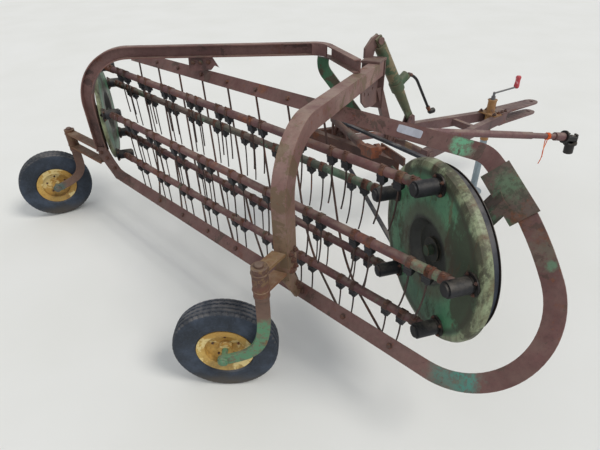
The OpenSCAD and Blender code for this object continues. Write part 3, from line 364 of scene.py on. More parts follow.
def head_finish(name, centre_y, centre_z, rim, back):
    """A pressed reel head: green paint between brown grime, a paler worn rim with painted shade in its
    crease, rust streaks, a greasy middle with painted shade laid black in its recess, and dark iron on the
    sheave, which lies beyond back. Rings are functions of the distance from the shaft."""
    f = Finish(name)
    at = f.vector("SUBTRACT", f.place, (0.0, centre_y, centre_z))
    radius = f.vector("LENGTH", f.vector("MULTIPLY", at, (0.0, 1.0, 1.0)), out="Value")
    cloud, fine = f.noise("head"), f.noise("head_fine")
    streak = f.noise("streaks", f.moved((1.0, 2.4, 0.45)))
    colour = f.two(f.step(cloud, 0.36, 0.6), TONES["shade"], TONES["green"])
    colour = f.cover(colour, f.step(fine, 0.4, 0.75) * 0.4, TONES["dull"])
    wobble = radius + 0.02 * (cloud - 0.5)
    worn = f.two(f.step(streak, 0.4, 0.62), TONES["cream"], TONES["bare"])
    colour = f.mix(f.step(wobble, *(rim + RIM)) * 0.85, colour, worn)
    # Painted shade: a dark ring in the crease inside the rim
    crease_shade = f.step(wobble, *(rim + CREASE_SHADE_IN)) * (1.0 - f.step(wobble, *(rim + CREASE_SHADE_OUT)))
    colour = f.cover(colour, crease_shade * 0.75, TONES["crease_shade"])
    grime = f.step(f.noise("grime", f.moved((1.0, 1.2, 0.7), (2.3, 0.4, 1.9))), 0.48, 0.57)
    colour = f.cover(colour, grime * 0.85, TONES["grime"])
    low = 1.0 - f.step(f.part(2, at) + 0.1 * (cloud - 0.5), *FOOT)
    colour = f.cover(colour, low * 0.45, TONES["foot"])
    near_hub = 1.0 - f.step(wobble + 0.07 * (streak - 0.5), *GREASE)
    colour = f.cover(colour, near_hub * 0.7, TONES["grease"])
    # Painted shade: the hub's recess laid almost black
    dish_shade = 1.0 - f.step(wobble + 0.03 * (streak - 0.5), *DISH_SHADE)
    colour = f.cover(colour, dish_shade * 0.92, TONES["dish_shade"])
    rusty = f.step(streak, 0.56, 0.68)
    rust = f.two(f.step(fine, 0.35, 0.7), colours().rust_brown, TONES["rust"])
    colour = f.mix(rusty * 0.6 * (1.0 - dish_shade), colour, rust)
    colour = f.cover(colour, f.edges(0.005) * 0.4, TONES["edge"])
    if back is not None:
        iron = f.two(f.step(fine, 0.35, 0.7), TONES["iron"], TONES["old_iron"])
        behind = (np.array([back, back + 3.0]) - HITCH[0]) / 1000
        colour = f.mix(f.step(f.part(0), *behind), colour, iron)
    height = 0.5 * fine + 0.5 * cloud - 0.3 * rusty
    return f.done(Base_Color=f.dusted(colour, 0.25), Roughness=0.46 + 0.3 * rusty + 0.15 * grime,
                  Normal=f.bump(height, 0.0016, 0.5), Specular_IOR_Level=0.42)


def rubber(name, main, dusty, mud_height, gloss):
    """Old rubber: a dark colour greyed by dust in noise clouds, fine cracks, and mud near the floor."""
    f = Finish(name)
    cloud, fine = f.noise("rubber"), f.noise("rubber_fine")
    colour = f.two(f.step(cloud, 0.38, 0.7), main, dusty)
    colour = f.cover(colour, f.step(fine, 0.45, 0.75) * 0.3, np.array(dusty) * 1.15)
    if mud_height:
        low = 1.0 - f.step(f.part(2) + 0.09 * (cloud - 0.5), FLOOR_Z, FLOOR_Z + mud_height)
        colour = f.cover(colour, low * 0.6, MUD)
    scattered = {"Vector": f.place, "Scale": CRACKS}
    cracks = f.node("ShaderNodeTexVoronoi", {"feature": "DISTANCE_TO_EDGE"}, scattered)
    height = 0.6 * fine + 0.4 * f.step(cracks, 0.0, 0.06)
    return f.done(Base_Color=f.dusted(colour, 0.28), Roughness=gloss + 0.2 * cloud,
                  Normal=f.bump(height, 0.0006, 0.4), Specular_IOR_Level=0.45)


def bare_steel(name, main, second, rust_share, gloss, metal):
    """Bare or galvanised steel: two greys in fine streaks, with rust in specks."""
    f = Finish(name)
    grain, fine = f.noise("brushed", f.moved((1, 1, 0.25))), f.noise("steel_fine")
    colour = f.two(f.step(grain, 0.35, 0.65), main, second)
    rusty = f.step(f.noise("steel_rust"), *(STEEL_RUST_FROM - 0.5 * rust_share))
    rust = f.two(f.step(fine, 0.35, 0.65), colours().rust_brown, colours().rust_orange)
    colour = f.mix(rusty * 0.85, colour, rust)
    return f.done(Base_Color=f.dusted(colour, 0.25), Roughness=gloss + 0.35 * rusty + 0.12 * grain,
                  Metallic=metal * (1.0 - rusty), Normal=f.bump(fine, 0.0005, 0.35))


FINISHES = {}

# Weathered paints: main colour, second colour, flakes' colour, share of flakes, share of rust, dust
PAINTS = [
    ("front_arch_paint", (0.46, 0.33, 0.31), (0.56, 0.45, 0.42), (0.4, 0.33, 0.25), 0.35, 0.26, 0.35),
    ("rear_arch_paint", (0.41, 0.29, 0.28), (0.5, 0.38, 0.36), (0.31, 0.24, 0.23), 0.3, 0.26, 0.35),
    ("rail_paint", (0.37, 0.245, 0.235), (0.45, 0.32, 0.305), (0.29, 0.215, 0.19), 0.3, 0.28, 0.25),
    ("strip_paint", (0.24, 0.17, 0.15), (0.33, 0.23, 0.2), (0.28, 0.28, 0.25), 0.1, 0.36, 0.2),
    ("bar_rust", (0.42, 0.285, 0.275), (0.34, 0.225, 0.23), (0.31, 0.3, 0.25), 0.22, 0.3, 0.3),
    ("bar_green", (0.26, 0.29, 0.25), (0.35, 0.28, 0.26), (0.34, 0.44, 0.36), 0.3, 0.3, 0.25),
    ("support_green", (0.16, 0.24, 0.18), (0.26, 0.27, 0.21), (0.3, 0.4, 0.31), 0.3, 0.24, 0.2),
    ("lift_green", (0.27, 0.36, 0.27), (0.4, 0.39, 0.3), (0.5, 0.44, 0.34), 0.35, 0.22, 0.45),
    ("brace_green", (0.22, 0.38, 0.28), (0.3, 0.42, 0.32), (0.3, 0.24, 0.2), 0.3, 0.24, 0.25),
    ("tongue_paint", (0.36, 0.27, 0.27), (0.45, 0.35, 0.35), (0.27, 0.22, 0.22), 0.3, 0.3, 0.4),
    ("iron_paint", (0.28, 0.21, 0.2), (0.38, 0.27, 0.24), (0.3, 0.3, 0.27), 0.2, 0.36, 0.3),
    ("mast_paint", (0.37, 0.28, 0.27), (0.46, 0.36, 0.34), (0.52, 0.43, 0.34), 0.25, 0.26, 0.35),
    ("pto_paint", (0.46, 0.34, 0.34), (0.38, 0.27, 0.28), (0.34, 0.25, 0.24), 0.3, 0.26, 0.45),
    ("bracket_tan", (0.5, 0.4, 0.27), (0.44, 0.31, 0.24), (0.42, 0.44, 0.33), 0.2, 0.3, 0.3),
    ("front_arm_paint", (0.39, 0.3, 0.26), (0.46, 0.37, 0.32), (0.33, 0.28, 0.22), 0.25, 0.22, 0.25),
    ("rear_arm_paint", (0.39, 0.29, 0.26), (0.46, 0.36, 0.31), (0.33, 0.4, 0.33), 0.15, 0.26, 0.3),
    ("rim_yellow", (0.79, 0.68, 0.39), (0.72, 0.56, 0.28), (0.86, 0.78, 0.55), 0.35, 0.26, 0.2),
    ("jack_yellow", (0.62, 0.47, 0.31), (0.7, 0.5, 0.27), (0.5, 0.38, 0.31), 0.35, 0.28, 0.3),
    ("crank_paint", (0.44, 0.45, 0.46), (0.35, 0.35, 0.36), (0.4, 0.3, 0.26), 0.2, 0.2, 0.2),
    ("knob_red", (0.72, 0.24, 0.27), (0.8, 0.38, 0.4), (0.86, 0.6, 0.62), 0.4, 0.04, 0.3),
    ("strap_rust", (0.36, 0.24, 0.2), (0.27, 0.19, 0.17), (0.3, 0.34, 0.28), 0.25, 0.34, 0.2),
    ("twine_orange", (0.93, 0.42, 0.16), (0.85, 0.34, 0.12), (0.96, 0.58, 0.34), 0.3, 0.0, 0.0),
]
# Colour zones of a paint: kind, place from the front head's centre, size and border in metres, colour, share
ZONES = {
    "rail_paint": [
        ("ball", on_loop(53, 372), 0.036, 0.012, (0.42, 0.68, 0.53), 0.95),
        ("ball", on_loop(16, 362), 0.016, 0.01, (0.42, 0.62, 0.5), 0.6),
        ("ball", on_loop(-272, -352), 0.05, 0.03, (0.25, 0.52, 0.47), 1),
        ("ball", on_loop(-205, -372), 0.042, 0.03, (0.27, 0.48, 0.43), 0.9),
        ("ball", on_loop(-358, 113), 0.016, 0.008, (0.36, 0.54, 0.42), 0.8),
        ("ball", on_loop(-330, 150), 0.05, 0.035, (0.4, 0.43, 0.36), 0.45),
        ("below", -330, 0, 0.05, (0.36, 0.27, 0.25), 0.5),
    ],
    "front_arch_paint": [("below", 120, 0, 0.11, (0.46, 0.38, 0.28), 0.75)],
    "rear_arch_paint": [("below", 60, 0, 0.12, (0.31, 0.24, 0.21), 0.7)],
    "support_green": [
        ("ball", on_loop(-167, 282.6), 0.1, 0.016, (0.42, 0.33, 0.31), 0.7),
        ("ball", on_loop(-150, 300), 0.04, 0.03, (0.36, 0.5, 0.38), 0.7),
    ],
    "front_arm_paint": [("below", -268, 0, 0.02, (0.33, 0.5, 0.38), 1)],
    "rear_arm_paint": [("ball", (-1615, 1849, HUB_Z), 0.05, 0.016, (0.28, 0.4, 0.38), 0.8)],
    "bracket_tan": [
        ("post", (-579.3, 98.2), 0.034, 0.003, (0.32, 0.22, 0.2), 0.92),
        ("post", (-1441.9, 1889), 0.034, 0.003, (0.3, 0.26, 0.2), 0.85),
        ("below", -80, 0, 0.012, (0.42, 0.26, 0.2), 0.6),
    ],
    "bar_green": [("ball", (-170, 190, 60), 0.3, 0.1, (0.3, 0.42, 0.33), 0.5)],
    "bar_rust": [("ball", (-106, -163, 72), 0.06, 0.03, (0.38, 0.49, 0.38), 0.7)],
    "iron_paint": [("ball", (5, 560, 125), 0.09, 0.04, (0.55, 0.3, 0.18), 0.8)],
    "rim_yellow": [("below", -560, 0, 0.03, (0.55, 0.45, 0.28), 0.7)],
}
# Rubbers: main colour, dusty colour, height of mud
RUBBERS = [
    ("tyre_rubber", (0.11, 0.14, 0.18), (0.23, 0.27, 0.33), 0.1, 0.6),
    ("belt_rubber", (0.1, 0.12, 0.16), (0.2, 0.23, 0.29), None, 0.5),
    ("mount_rubber", (0.055, 0.06, 0.075), (0.15, 0.15, 0.175), None, 0.5),
    ("hose_rubber", (0.06, 0.06, 0.07), (0.17, 0.17, 0.17), None, 0.5),
    ("bearing_black", (0.05, 0.05, 0.055), (0.15, 0.125, 0.12), None, 0.4),
]
# Bare metals: main colour, second colour, share of rust, roughness, metal
STEELS = [
    ("zinc_leg", (0.6, 0.65, 0.68), (0.5, 0.55, 0.58), 0.15, 0.4, 0.55),
    ("tooth_wire", (0.2, 0.15, 0.14), (0.28, 0.21, 0.19), 0.35, 0.5, 0.35),
    ("bolt_steel", (0.36, 0.25, 0.22), (0.28, 0.2, 0.18), 0.5, 0.6, 0.25),
    ("label_plate", (0.74, 0.75, 0.79), (0.66, 0.67, 0.71), 0.12, 0.4, 0.15),
]

# CAD nodes of each finish, by the start of their name; a full name wins
NODE_FINISH = {
    "front_arch_paint": "front_arch", "rear_arch_paint": "rear_arch", "rail_paint": "rail_loop",
    "strip_paint": "strippers", "mast_paint": "mast", "brace_green": "brace_arm",
    "support_green": "front_head_bearing rear_head_bearing",
    "bracket_tan": "front_caster_bracket rear_caster_bracket", "bar_green": "bar_5", "bar_rust": "bar",
    "iron_paint": "drive_beam belt_tightener drive_sheave", "mount_rubber": "mounts", "tooth_wire": "teeth",
    "front_head_paint": "front_head", "rear_head_paint": "rear_head", "belt_rubber": "belt",
    "bearing_black": "front_pivots rear_pivots pto_yoke", "tongue_paint": "tongue hitch_plates drive_shaft",
    "pto_paint": "pto_tube", "jack_yellow": "jack_tube", "zinc_leg": "jack_leg", "crank_paint": "jack_crank",
    "lift_green": "lift_barrel lift_rod", "hose_rubber": "lift_hose", "front_arm_paint": "front_caster_arm",
    "rear_arm_paint": "rear_caster_arm", "rim_yellow": "front_rim rear_rim",
    "tyre_rubber": "front_tyre rear_tyre",
}
# Reel heads: node, radius of the rim in metres, and where the sheave behind it begins
HEADS = [("front_head", 0.32, 28.0), ("rear_head", 0.279, None)]


class RAKE_OT_finishes(bpy.types.Operator):
    """Makes every finish and puts one on each CAD node"""

    bl_idname = "rake.finishes"
    bl_label = "Finishes"

    def execute(self, context):
        for make, table in ((weathered, PAINTS), (rubber, RUBBERS), (bare_steel, STEELS)):
            for row in table:
                FINISHES[row[0]] = make(*row)
        for node, rim, back in HEADS:
            low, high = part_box(node)
            middle = (low + high) / 2
            FINISHES[node + "_paint"] = head_finish(node + "_paint", middle.y, middle.z, rim, back)
        finish_of = {start: finish for finish, starts in NODE_FINISH.items() for start in starts.split()}
        for name, obj in NODES.items():
            fits = [finish for start, finish in finish_of.items() if name.startswith(start + "_")]
            obj.data.materials.clear()
            obj.data.materials.append(FINISHES[finish_of.get(name) or fits[0]])
        return {"FINISHED"}


# Surfaces


def quads(nu, nv, wrap_u, wrap_v):
    """Faces of a grid of points; a wrapped side joins its last row to its first."""
    index = np.arange(nu * nv).reshape(nu, nv)
    if wrap_u:
        index = np.vstack([index, index[:1]])
    if wrap_v:
        index = np.hstack([index, index[:, :1]])
    return np.stack([index[:-1, :-1], index[1:, :-1], index[1:, 1:], index[:-1, 1:]], -1).reshape(-1, 4)


def sheet_of(grid, wrap_u=False, wrap_v=False, flip=False):
    """A surface from a grid of points; flip turns its faces over."""
    faces = quads(*grid.shape[:2], wrap_u, wrap_v)
    return grid.reshape(-1, 3), faces[:, ::-1] if flip else faces


def joined(shells):
    """Several surfaces as one: points end to end, faces shifted."""
    points, faces, start = [], [], 0
    for p, f in shells:
        points.append(p)
        faces.append(f + start)
        start += len(p)
    return np.vstack(points), np.vstack(faces)


def copies(shell, places, axes=np.eye(3)[None]):
    """The surface once at each place, its x, y and z turned to the rows of that place's axes."""
    points, faces = shell
    moved = np.einsum("pk,mkj->mpj", points, axes) + np.asarray(places)[:, None, :]
    shift = np.arange(len(places))[:, None, None] * len(points)
    return moved.reshape(-1, 3), (faces[None] + shift).reshape(-1, faces.shape[1])


def axes_for(outward, along=None):
    """Axes with z outward: x is the part of along that is square to it, y the cross product."""
    z = unit(np.atleast_2d(outward))
    if along is None:
        along = np.where(np.abs(z[:, 2:3]) < 0.9, Z_AXIS, X_AXIS)
    x = unit(along - np.sum(along * z, 1, keepdims=True) * z)
    return np.stack([x, np.cross(z, x), z], 1)


def swept(path, profile, closed=False, along=None):
    """A profile of (side, up) pairs, or one for each point, carried square to a path. An open path's ends
    are closed onto their middles."""
    path = np.asarray(path, float)
    if closed:
        direction = unit(np.roll(path, -1, 0) - np.roll(path, 1, 0))
    else:
        direction = unit(np.gradient(path, axis=0))
    frames = axes_for(direction, along)
    profile = np.asarray(profile, float)
    rows = np.broadcast_to(profile, (len(path), *profile.shape[-2:]))
    grid = path[:, None, :] + np.einsum("mpk,mkj->mpj", rows, frames[:, :2, :])
    if not closed:
        ends = np.repeat(path[[0, -1], None, :], grid.shape[1], 1)
        grid = np.concatenate([ends[:1], grid, ends[1:]])
    return sheet_of(grid, closed, True)


def box_profile(half_side, half_up, cut=1.5):
    """Half sizes of a section, one or many, as the eight points of a rectangle with its corners cut."""
    a, b = np.broadcast_arrays(np.asarray(half_side, float), np.asarray(half_up, float))
    x = np.stack([a - cut, a, a, a - cut, cut - a, -a, -a, cut - a], -1)
    y = np.stack([-b, cut - b, b - cut, b, b, b - cut, cut - b, -b], -1)
    return np.stack([x, y], -1)


def disc_profile(radius, count):
    """Points of a circle."""
    return circle(angles(count), *np.eye(2)) * radius


def turned(rings, count):
    """A turned piece on the local z: rings of (radius, height) pairs, the first and last on the axis."""
    rings = np.asarray(rings, float)
    grid = rings[:, :1, None] * circle(angles(count), *np.eye(3)[:2]) + rings[:, 1:, None] * Z_AXIS
    return sheet_of(grid, False, True, True)


def bolt_shape(flat, height, washer, stud):
    """A hexagon head on a washer: the radius over the angle is that of a hexagon between two chamfers."""
    t = angles(12)
    hexagon = flat / 2 / np.cos((t + np.pi / 6) % (np.pi / 3) - np.pi / 6)
    plate = flat * 0.58 * washer
    rows = [(0.0, -1.0), (plate, -1.0), (plate, 1.6), (hexagon, 2.0), (hexagon, height - 1.0),
            (flat * 0.46, height)]
    if stud:
        pin = flat * 0.28
        rows += [(pin, height), (pin, height + stud), (0.0, height + stud + 0.8)]
    else:
        rows += [(0.0, height)]
    grid = [np.stack([r * np.cos(t), r * np.sin(t), np.full(len(t), z)], 1) for r, z in rows]
    return sheet_of(np.stack(grid), False, True, True)


def piece(name, shell, body, finish, replaces=(), sharp=35.0, metres=False):
    """Makes an object of a surface, in millimetres unless it is in metres, that rides on a body."""
    points, faces = shell
    if not metres:
        points = placed(points)
    mesh = bpy.data.meshes.new(name)
    mesh.from_pydata(np.asarray(points, float).tolist(), [], np.asarray(faces).tolist())
    mesh.validate()
    mesh.polygons.foreach_set("use_smooth", np.ones(len(mesh.polygons), bool))
    mesh.set_sharp_from_angle(angle=np.radians(sharp))
    mesh.materials.append(FINISHES[finish])
    mesh.update()
    obj = bpy.data.objects.new(name, mesh)
    bpy.context.scene.collection.objects.link(obj)
    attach(obj, body)
    if replaces:
        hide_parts(*replaces)
    return obj


# Tyres and rims


# Half section of a tyre: distance from its middle plane, then radius, from the bead out to the tread
TYRE_SECTION = np.array([
    [33.0, 106.6], [40.5, 118.6], [46.0, 121.5], [50.0, 132.0], [52.4, 146.0], [53.0, 160.0], [52.4, 174.0],
    [51.2, 188.0], [49.0, 202.0], [45.5, 210.5], [40.0, 214.3], [30.0, 216.6], [18.0, 217.6], [0.0, 218.0]])
WHEELS = [
    # node, body, swivel turn in degrees
    ("front_tyre", "front_wheel", 164.0),
    ("rear_tyre", "rear_wheel", 193.0),
]
# Grooves' places across the tread and their swing, and the number, circle, side and face of a wheel's nuts
GROOVES, GROOVE_SWING = (-30.0, -10.5, 10.5, 30.0), 3.0
NUTS, NUT_CIRCLE, NUT_TURN, NUT_FACES = 5, 56.0, np.radians(20.0), ((-1, -7.0), (1, 1.0))


def tyre_shell(centre, turn):
    """A tyre: its section runs from bead to bead through the section's points. The tread is cut by zigzag
    grooves, whose side place is a triangle wave of the angle, and the shoulders by short notches."""
    s = sizes()
    full = np.vstack([TYRE_SECTION, TYRE_SECTION[-2::-1] * [-1, 1]])
    run = np.concatenate([[0], np.cumsum(np.linalg.norm(np.diff(full, axis=0), axis=1))])
    at = np.linspace(0, run[-1], 132)
    side, radius = np.interp(at, run, full[:, 0]), np.interp(at, run, full[:, 1])
    theta = angles(s.tread_steps * 6)[:, None]
    wave = 2 * np.abs((theta * s.tread_steps / (2 * np.pi)) % 1 - 0.5) - 0.5
    gap = np.min([np.abs(side - place - GROOVE_SWING * wave) for place in GROOVES], 0)
    cut = np.clip(1.6 - gap / (s.tread_groove / 2), 0, 1)
    on_tread = np.clip((radius - 196) / 6, 0, 1)
    shoulder = np.clip((np.abs(side) - 33) / 3, 0, 1) * np.clip((47 - np.abs(side)) / 3, 0, 1)
    notch = np.clip(3.2 * wave - 0.4, 0, 1) * shoulder
    ridges = 1.2 * np.exp(-((radius - 150.0) / 2.0) ** 2) + 1.6 * np.exp(-((radius - 127.0) / 2.2) ** 2)
    deep = radius - s.tread_depth * cut * on_tread - 3.2 * notch * on_tread
    wide = np.clip(side + np.sign(side) * np.where(np.abs(side) > 44, ridges, 0), -53.0, 53.0)
    heading, axle, up = level_turn(np.radians(turn))
    grid = np.asarray(centre) + deep[..., None] / 1000 * circle(theta, heading, up)
    return sheet_of(grid + wide[..., None] / 1000 * axle, True, True, True)


class RAKE_OT_tyres(bpy.types.Operator):
    """Makes the two ribbed tyres and the wheels' nuts"""

    bl_idname = "rake.tyres"
    bl_label = "Tyres"

    def execute(self, context):
        for node, body, turn in WHEELS:
            low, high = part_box(node)
            centre = np.array((low + high) / 2)
            tyre = tyre_shell(centre, turn)
            piece(node + "_ribbed", tyre, body, "tyre_rubber", (node,), 40, True)
            heading, axle, up = level_turn(np.radians(turn))
            ring = centre * 1000 + NUT_CIRCLE * circle(angles(NUTS) + NUT_TURN, heading, up)
            nut = bolt_shape(19.0, 12.0, 1.1, 6.0)
            points, faces = joined([copies(nut, ring + face * axle, axes_for(side * axle))
                                    for side, face in NUT_FACES])
            piece(body + "_nuts", (points / 1000, faces), body, "bolt_steel", metres=True)
        return {"FINISHED"}


# Bolts, clamps and small things


def rail_spot(x, w0, fall, face):
    """Where a line of the loop, w0 up at s = 0 and falling by an angle, meets the plane at x."""
    slope = np.tan(np.radians(fall))
    s = (x - w0 * LOOP_UP[0] - face * LOOP_NEAR[0]) / (BAR_DIR[0] - slope * LOOP_UP[0])
    return on_loop(s, w0 - s * slope, face)


def hex_bolts(spots, outward, flat, height, stud=0.0):
    """Bolt heads at some spots, all of them facing one way or each its own."""
    return copies(bolt_shape(flat, height, 1.2, stud), np.atleast_2d(spots), axes_for(outward))


def weld_ring(centre, axis, radius, size):
    """A weld bead: a small round section on a circle, which swells in ripples."""
    t = angles(56)
    x, y, _ = axes_for(axis)[0]
    ripple = 1.0 + 0.16 * np.sin(28 * t) + 0.1 * np.sin(5 * t + 1.0)
    path = np.asarray(centre, float) + radius * circle(t, x, y)
    return swept(path, disc_profile(size, 8)[None] * ripple[:, None, None], True)


# Bolts of the arches: foot, turn, width and height of a head, and rows of a side with its forwards and ups
ARCH_BOLTS = [
    (FRONT_ARCH, FRONT_ARCH_TURN, 19.0, 10.0, [
        (-56.5, [(100, -34), (132, -34), (100, -112), (132, -112), (116, -72)]),
        (-33.5, [(196, -258), (212, -292)]), (-33.0, [(1262, 318), (1205, 300)])]),
    (REAR_ARCH, REAR_ARCH_TURN, 17.0, 9.0, [
        (-5.5, [(246, -160), (272, -196), (300, -262), (862, 340), (902, 340), (942, 340)])]),
]
TONGUE_BOLTS = [
    (852, 44, 40.4), (852, -44, 40.4), (892, 42, 40.4), (892, -42, 40.4),
    (JACK_X - 26, 50, 38), (JACK_X + 26, 46, 38), (JACK_X - 26, -50, 38), (JACK_X + 26, -46, 38)]
# The rail bolts' shift from halfway between pairs of teeth, and a pivot flange's bolt circle and face
STRIP_SHIFT, FLANGE_RING, FLANGE_FACE = 30.0, 31.5, 16.0


class RAKE_OT_bolts(bpy.types.Operator):
    """Bolts on the rails, legs, plates and pivot flanges"""

    bl_idname = "rake.bolts"
    bl_label = "Bolts"

    def execute(self, context):
        k = np.arange(TOOTH_PAIRS - 1)
        x = (TOOTH_FIRST + (k + 0.5) * TOOTH_PITCH - STRIP_SHIFT) * BAR_DIR[0] - PIVOT_REACH[0]
        top = rail_spot(x, LOOP_TOP + LOOP_START * np.tan(np.radians(LOOP_FALL)), LOOP_FALL, LOOP_FACE)
        low = rail_spot(x, LOOP_LOW, 0.0, LOOP_FACE)
        rails = hex_bolts(np.vstack([top, low]), LOOP_NEAR, sizes().bolt_flat, 9.0)
        piece("rail_bolts", rails, "frame", "bolt_steel")

        arches = []
        for foot, turn, flat, height, rows in ARCH_BOLTS:
            spots = [(ahead, side, up) for side, places in rows for ahead, up in places]
            arches.append(hex_bolts(in_frame(foot, turn, spots), -level_turn(turn)[1], flat, height, 5.0))
        piece("arch_bolts", joined(arches), "frame", "strap_rust")
        piece("tongue_bolts", hex_bolts(on_tongue(TONGUE_BOLTS), Z_AXIS, 19.0, 10.0, 6.0), "draft_tongue",
              "bolt_steel")

        ring = FLANGE_RING * circle(angles(4) + np.pi / 4, *np.eye(3)[1:])
        pivots = np.vstack([bar_spot(i) + ring for i in range(BARS)])
        for end, middle, outward in (("front", 0.0 * X_AXIS, -X_AXIS), ("rear", REAR_HEAD, X_AXIS)):
            bolts = hex_bolts(pivots + middle + FLANGE_FACE * outward, outward, 9.0, 5.0, 3.0)
            piece(end + "_pivot_bolts", bolts, end + "_reel_head", "strap_rust")
        return {"FINISHED"}


class RAKE_OT_clamps(bpy.types.Operator):
    """Bands that hold the tooth mounts and the bars' ends, each with its bolt"""

    bl_idname = "rake.clamps"
    bl_label = "Bands"

    def execute(self, context):
        wide, thick = sizes().strap_wide, 1.5
        side, up = axes_for(BAR_DIR, Z_AXIS)[0][:2]
        ring = (BAR_RADIUS + thick) * circle(angles(32), side, up)
        strap = swept(ring, box_profile(wide / 2, thick, 0.6), True, BAR_DIR)
        band = swept(ring, box_profile(wide / 3, thick, 0.6), True, BAR_DIR)
        out = unit(np.array([-BAR_DIR[1], BAR_DIR[0], 0.0]) * 0.45 + Z_AXIS)
        ends = np.array([52.0, 98.0, BAR_LEN - 98.0, BAR_LEN - 52.0])
        k, pair = np.meshgrid(np.arange(TOOTH_PAIRS), [-0.5, 0.5], indexing="ij")
        teeth = (TOOTH_FIRST + k * TOOTH_PITCH + pair * TOOTH_GAP).ravel()
        for i in range(BARS):
            start = bar_spot(i) - PIVOT_REACH
            end_spots, tooth_spots = start + ends[:, None] * BAR_DIR, start + teeth[:, None] * BAR_DIR
            bolts = np.vstack([end_spots, tooth_spots]) + (BAR_RADIUS + 2.0) * out
            bands = [copies(strap, end_spots), copies(band, tooth_spots)]
            bands = joined([*bands, hex_bolts(bolts, out, 13.0, 8.0, 5.0)])
            piece(f"bar_{i + 1}_bands", bands, f"tooth_bar_{i + 1}", "strap_rust")
        return {"FINISHED"}


# Caster arms: body, swivel, sleeve's lower end, heading in degrees, finish
ARMS = [
    ("front_caster", (-579.3, 98.2), -134.0, 164.0, "front_arm_paint"),
    ("rear_caster", (-1441.9, 1889.0), -244.0, 193.0, "rear_arm_paint"),
]
TRAIL, PIN_RADIUS, SLEEVE_RADIUS, SLEEVE_LEN, AXLE_END = 178.0, 16.0, 30.0, 124.0, 124.0
# Turned pieces: radius and height of each ring
AXLE_RINGS = [(0, -20), (10, -20), (12, -17), (20, -17), (21, -9), (12, -8), (12, 124), (9, 126), (0, 126)]
KNOB_RINGS = [
    (0, -2), (11, -2), (15.5, 3), (17, 14), (15.5, 30), (14.5, 48), (16, 60), (17, 68), (13, 76), (0, 78)]
CAP_RINGS = [(0, -8), (10, -8), (13, -4), (17, 2), (17, 12), (15, 13), (15, 17), (17, 18), (17, 34),
             (14, 37), (0, 37)]
FERRULE_RINGS = [(0, -4), (11, -4), (13, 0), (13, 9), (11, 10), (11, 26), (9, 28), (0, 28)]


class RAKE_OT_arms(bpy.types.Operator):
    """Swivel pins with the bent flat arms that carry the wheels, in place of the plain plates"""

    bl_idname = "rake.arms"
    bl_label = "Caster arms"

    def execute(self, context):
        for body, swivel, low, degrees, finish in ARMS:
            turn = np.radians(degrees)
            left = level_turn(turn)[1]
            origin = np.array([*swivel, 0.0])
            # Straight down, then a cubic curve to the hub, and a rounded end past it
            corners = np.array([[0, low - 90], [0, HUB_Z + 62], [52, HUB_Z + 30], [TRAIL, HUB_Z]])
            u = np.linspace(0, 1, 26)[:, None]
            curve = np.hstack([(1 - u) ** 3, 3 * (1 - u) ** 2 * u, 3 * (1 - u) * u ** 2, u ** 3]) @ corners
            past = np.outer([10, 18, 22.5, 24], unit(corners[3] - corners[2]))
            line = np.vstack([[[0, low - 3], [0, low - 45]], curve, corners[3] + past])
            half = np.concatenate([[26, 26], 26 - 4 * u[:, 0], [21, 15.5, 8, 2.5]])
            path = in_frame(origin, turn, np.stack([line[:, 0], 0 * half, line[:, 1]], 1))
            bar = swept(path, box_profile(8.0, half), along=left)
            top = low + SLEEVE_LEN + 9
            pin = turned([(0, low - 14), (SLEEVE_RADIUS, low - 14), (SLEEVE_RADIUS + 1, low - 8),
                          (SLEEVE_RADIUS, low - 0.5), (PIN_RADIUS, low - 0.5), (PIN_RADIUS, top),
                          (PIN_RADIUS - 3, top + 3), (0, top + 3)], 32)
            hub = in_frame(origin, turn, [TRAIL, 0, HUB_Z])
            nut = hex_bolts(hub - AXLE_END * left, -left, 26.0, 12.0, 4.0)
            axle = copies(turned(AXLE_RINGS, 28), hub[None], axes_for(-left, Z_AXIS))
            weld = weld_ring(origin + [0, 0, low - 15], Z_AXIS, 25.0, sizes().weld_size)
            arm = joined([bar, copies(pin, origin[None]), axle, nut, weld])
            piece(body + "_arm_bent", arm, body, finish, (body + "_arm",))
        return {"FINISHED"}


class RAKE_OT_welds(bpy.types.Operator):
    """Weld beads round the casters' sleeves and the jack's tube, and the jack's knob"""

    bl_idname = "rake.welds"
    bl_label = "Welds"

    def execute(self, context):
        size = sizes().weld_size
        rings = [weld_ring([*swivel, low + rise], Z_AXIS, SLEEVE_RADIUS, size - 1.5)
                 for _, swivel, low, _, _ in ARMS for rise in (22.5, 99.5)]
        piece("sleeve_welds", joined(rings), "frame", "bracket_tan")
        jack = in_frame(TONGUE_HINGE, TONGUE_TURN, [JACK_X, 0, 0])
        rings = [weld_ring(jack + [0, 0, dz], Z_AXIS, 28.5, size - 1.0) for dz in (-8.5, -19.0)]
        rings += [weld_ring(jack + [0, 0, 74.0], Z_AXIS, 27.0, 3.0)]
        piece("jack_welds", joined(rings), "draft_tongue", "jack_yellow")
        knob_at = in_frame(TONGUE_HINGE, TONGUE_TURN, [[JACK_X + 210.0, -12.0, 112.0]])
        piece("jack_knob", copies(turned(KNOB_RINGS, 28), knob_at), "draft_tongue", "knob_red")
        return {"FINISHED"}


# Hose: the lift cylinder's upper pin, its start, its bend's radius and falls, and the straight run after it
LIFT_TOP = FRONT_ARCH + FRONT_ARCH_LEN * level_turn(FRONT_ARCH_TURN)[0] + [30.0, 35.5, 425.0]
HOSE_FROM = LIFT_TOP + [242.0, 84.0, -223.0]
HOSE_RADIUS, HOSE_BEND, HOSE_FALLS, HOSE_RUN = 8.0, 140.0, np.radians([12.0, 56.0]), 252.0
# Twine on the shaft: its place, turns, the slip tube's radius, and each loose end's shift, length and sway
TWINE_AT, TWINE_TURNS, SLIP_RADIUS = 958.0, 4, 17.0
TWINE_ENDS = [(3.0, 165.0, 14.0), (18.0, 118.0, -10.0)]


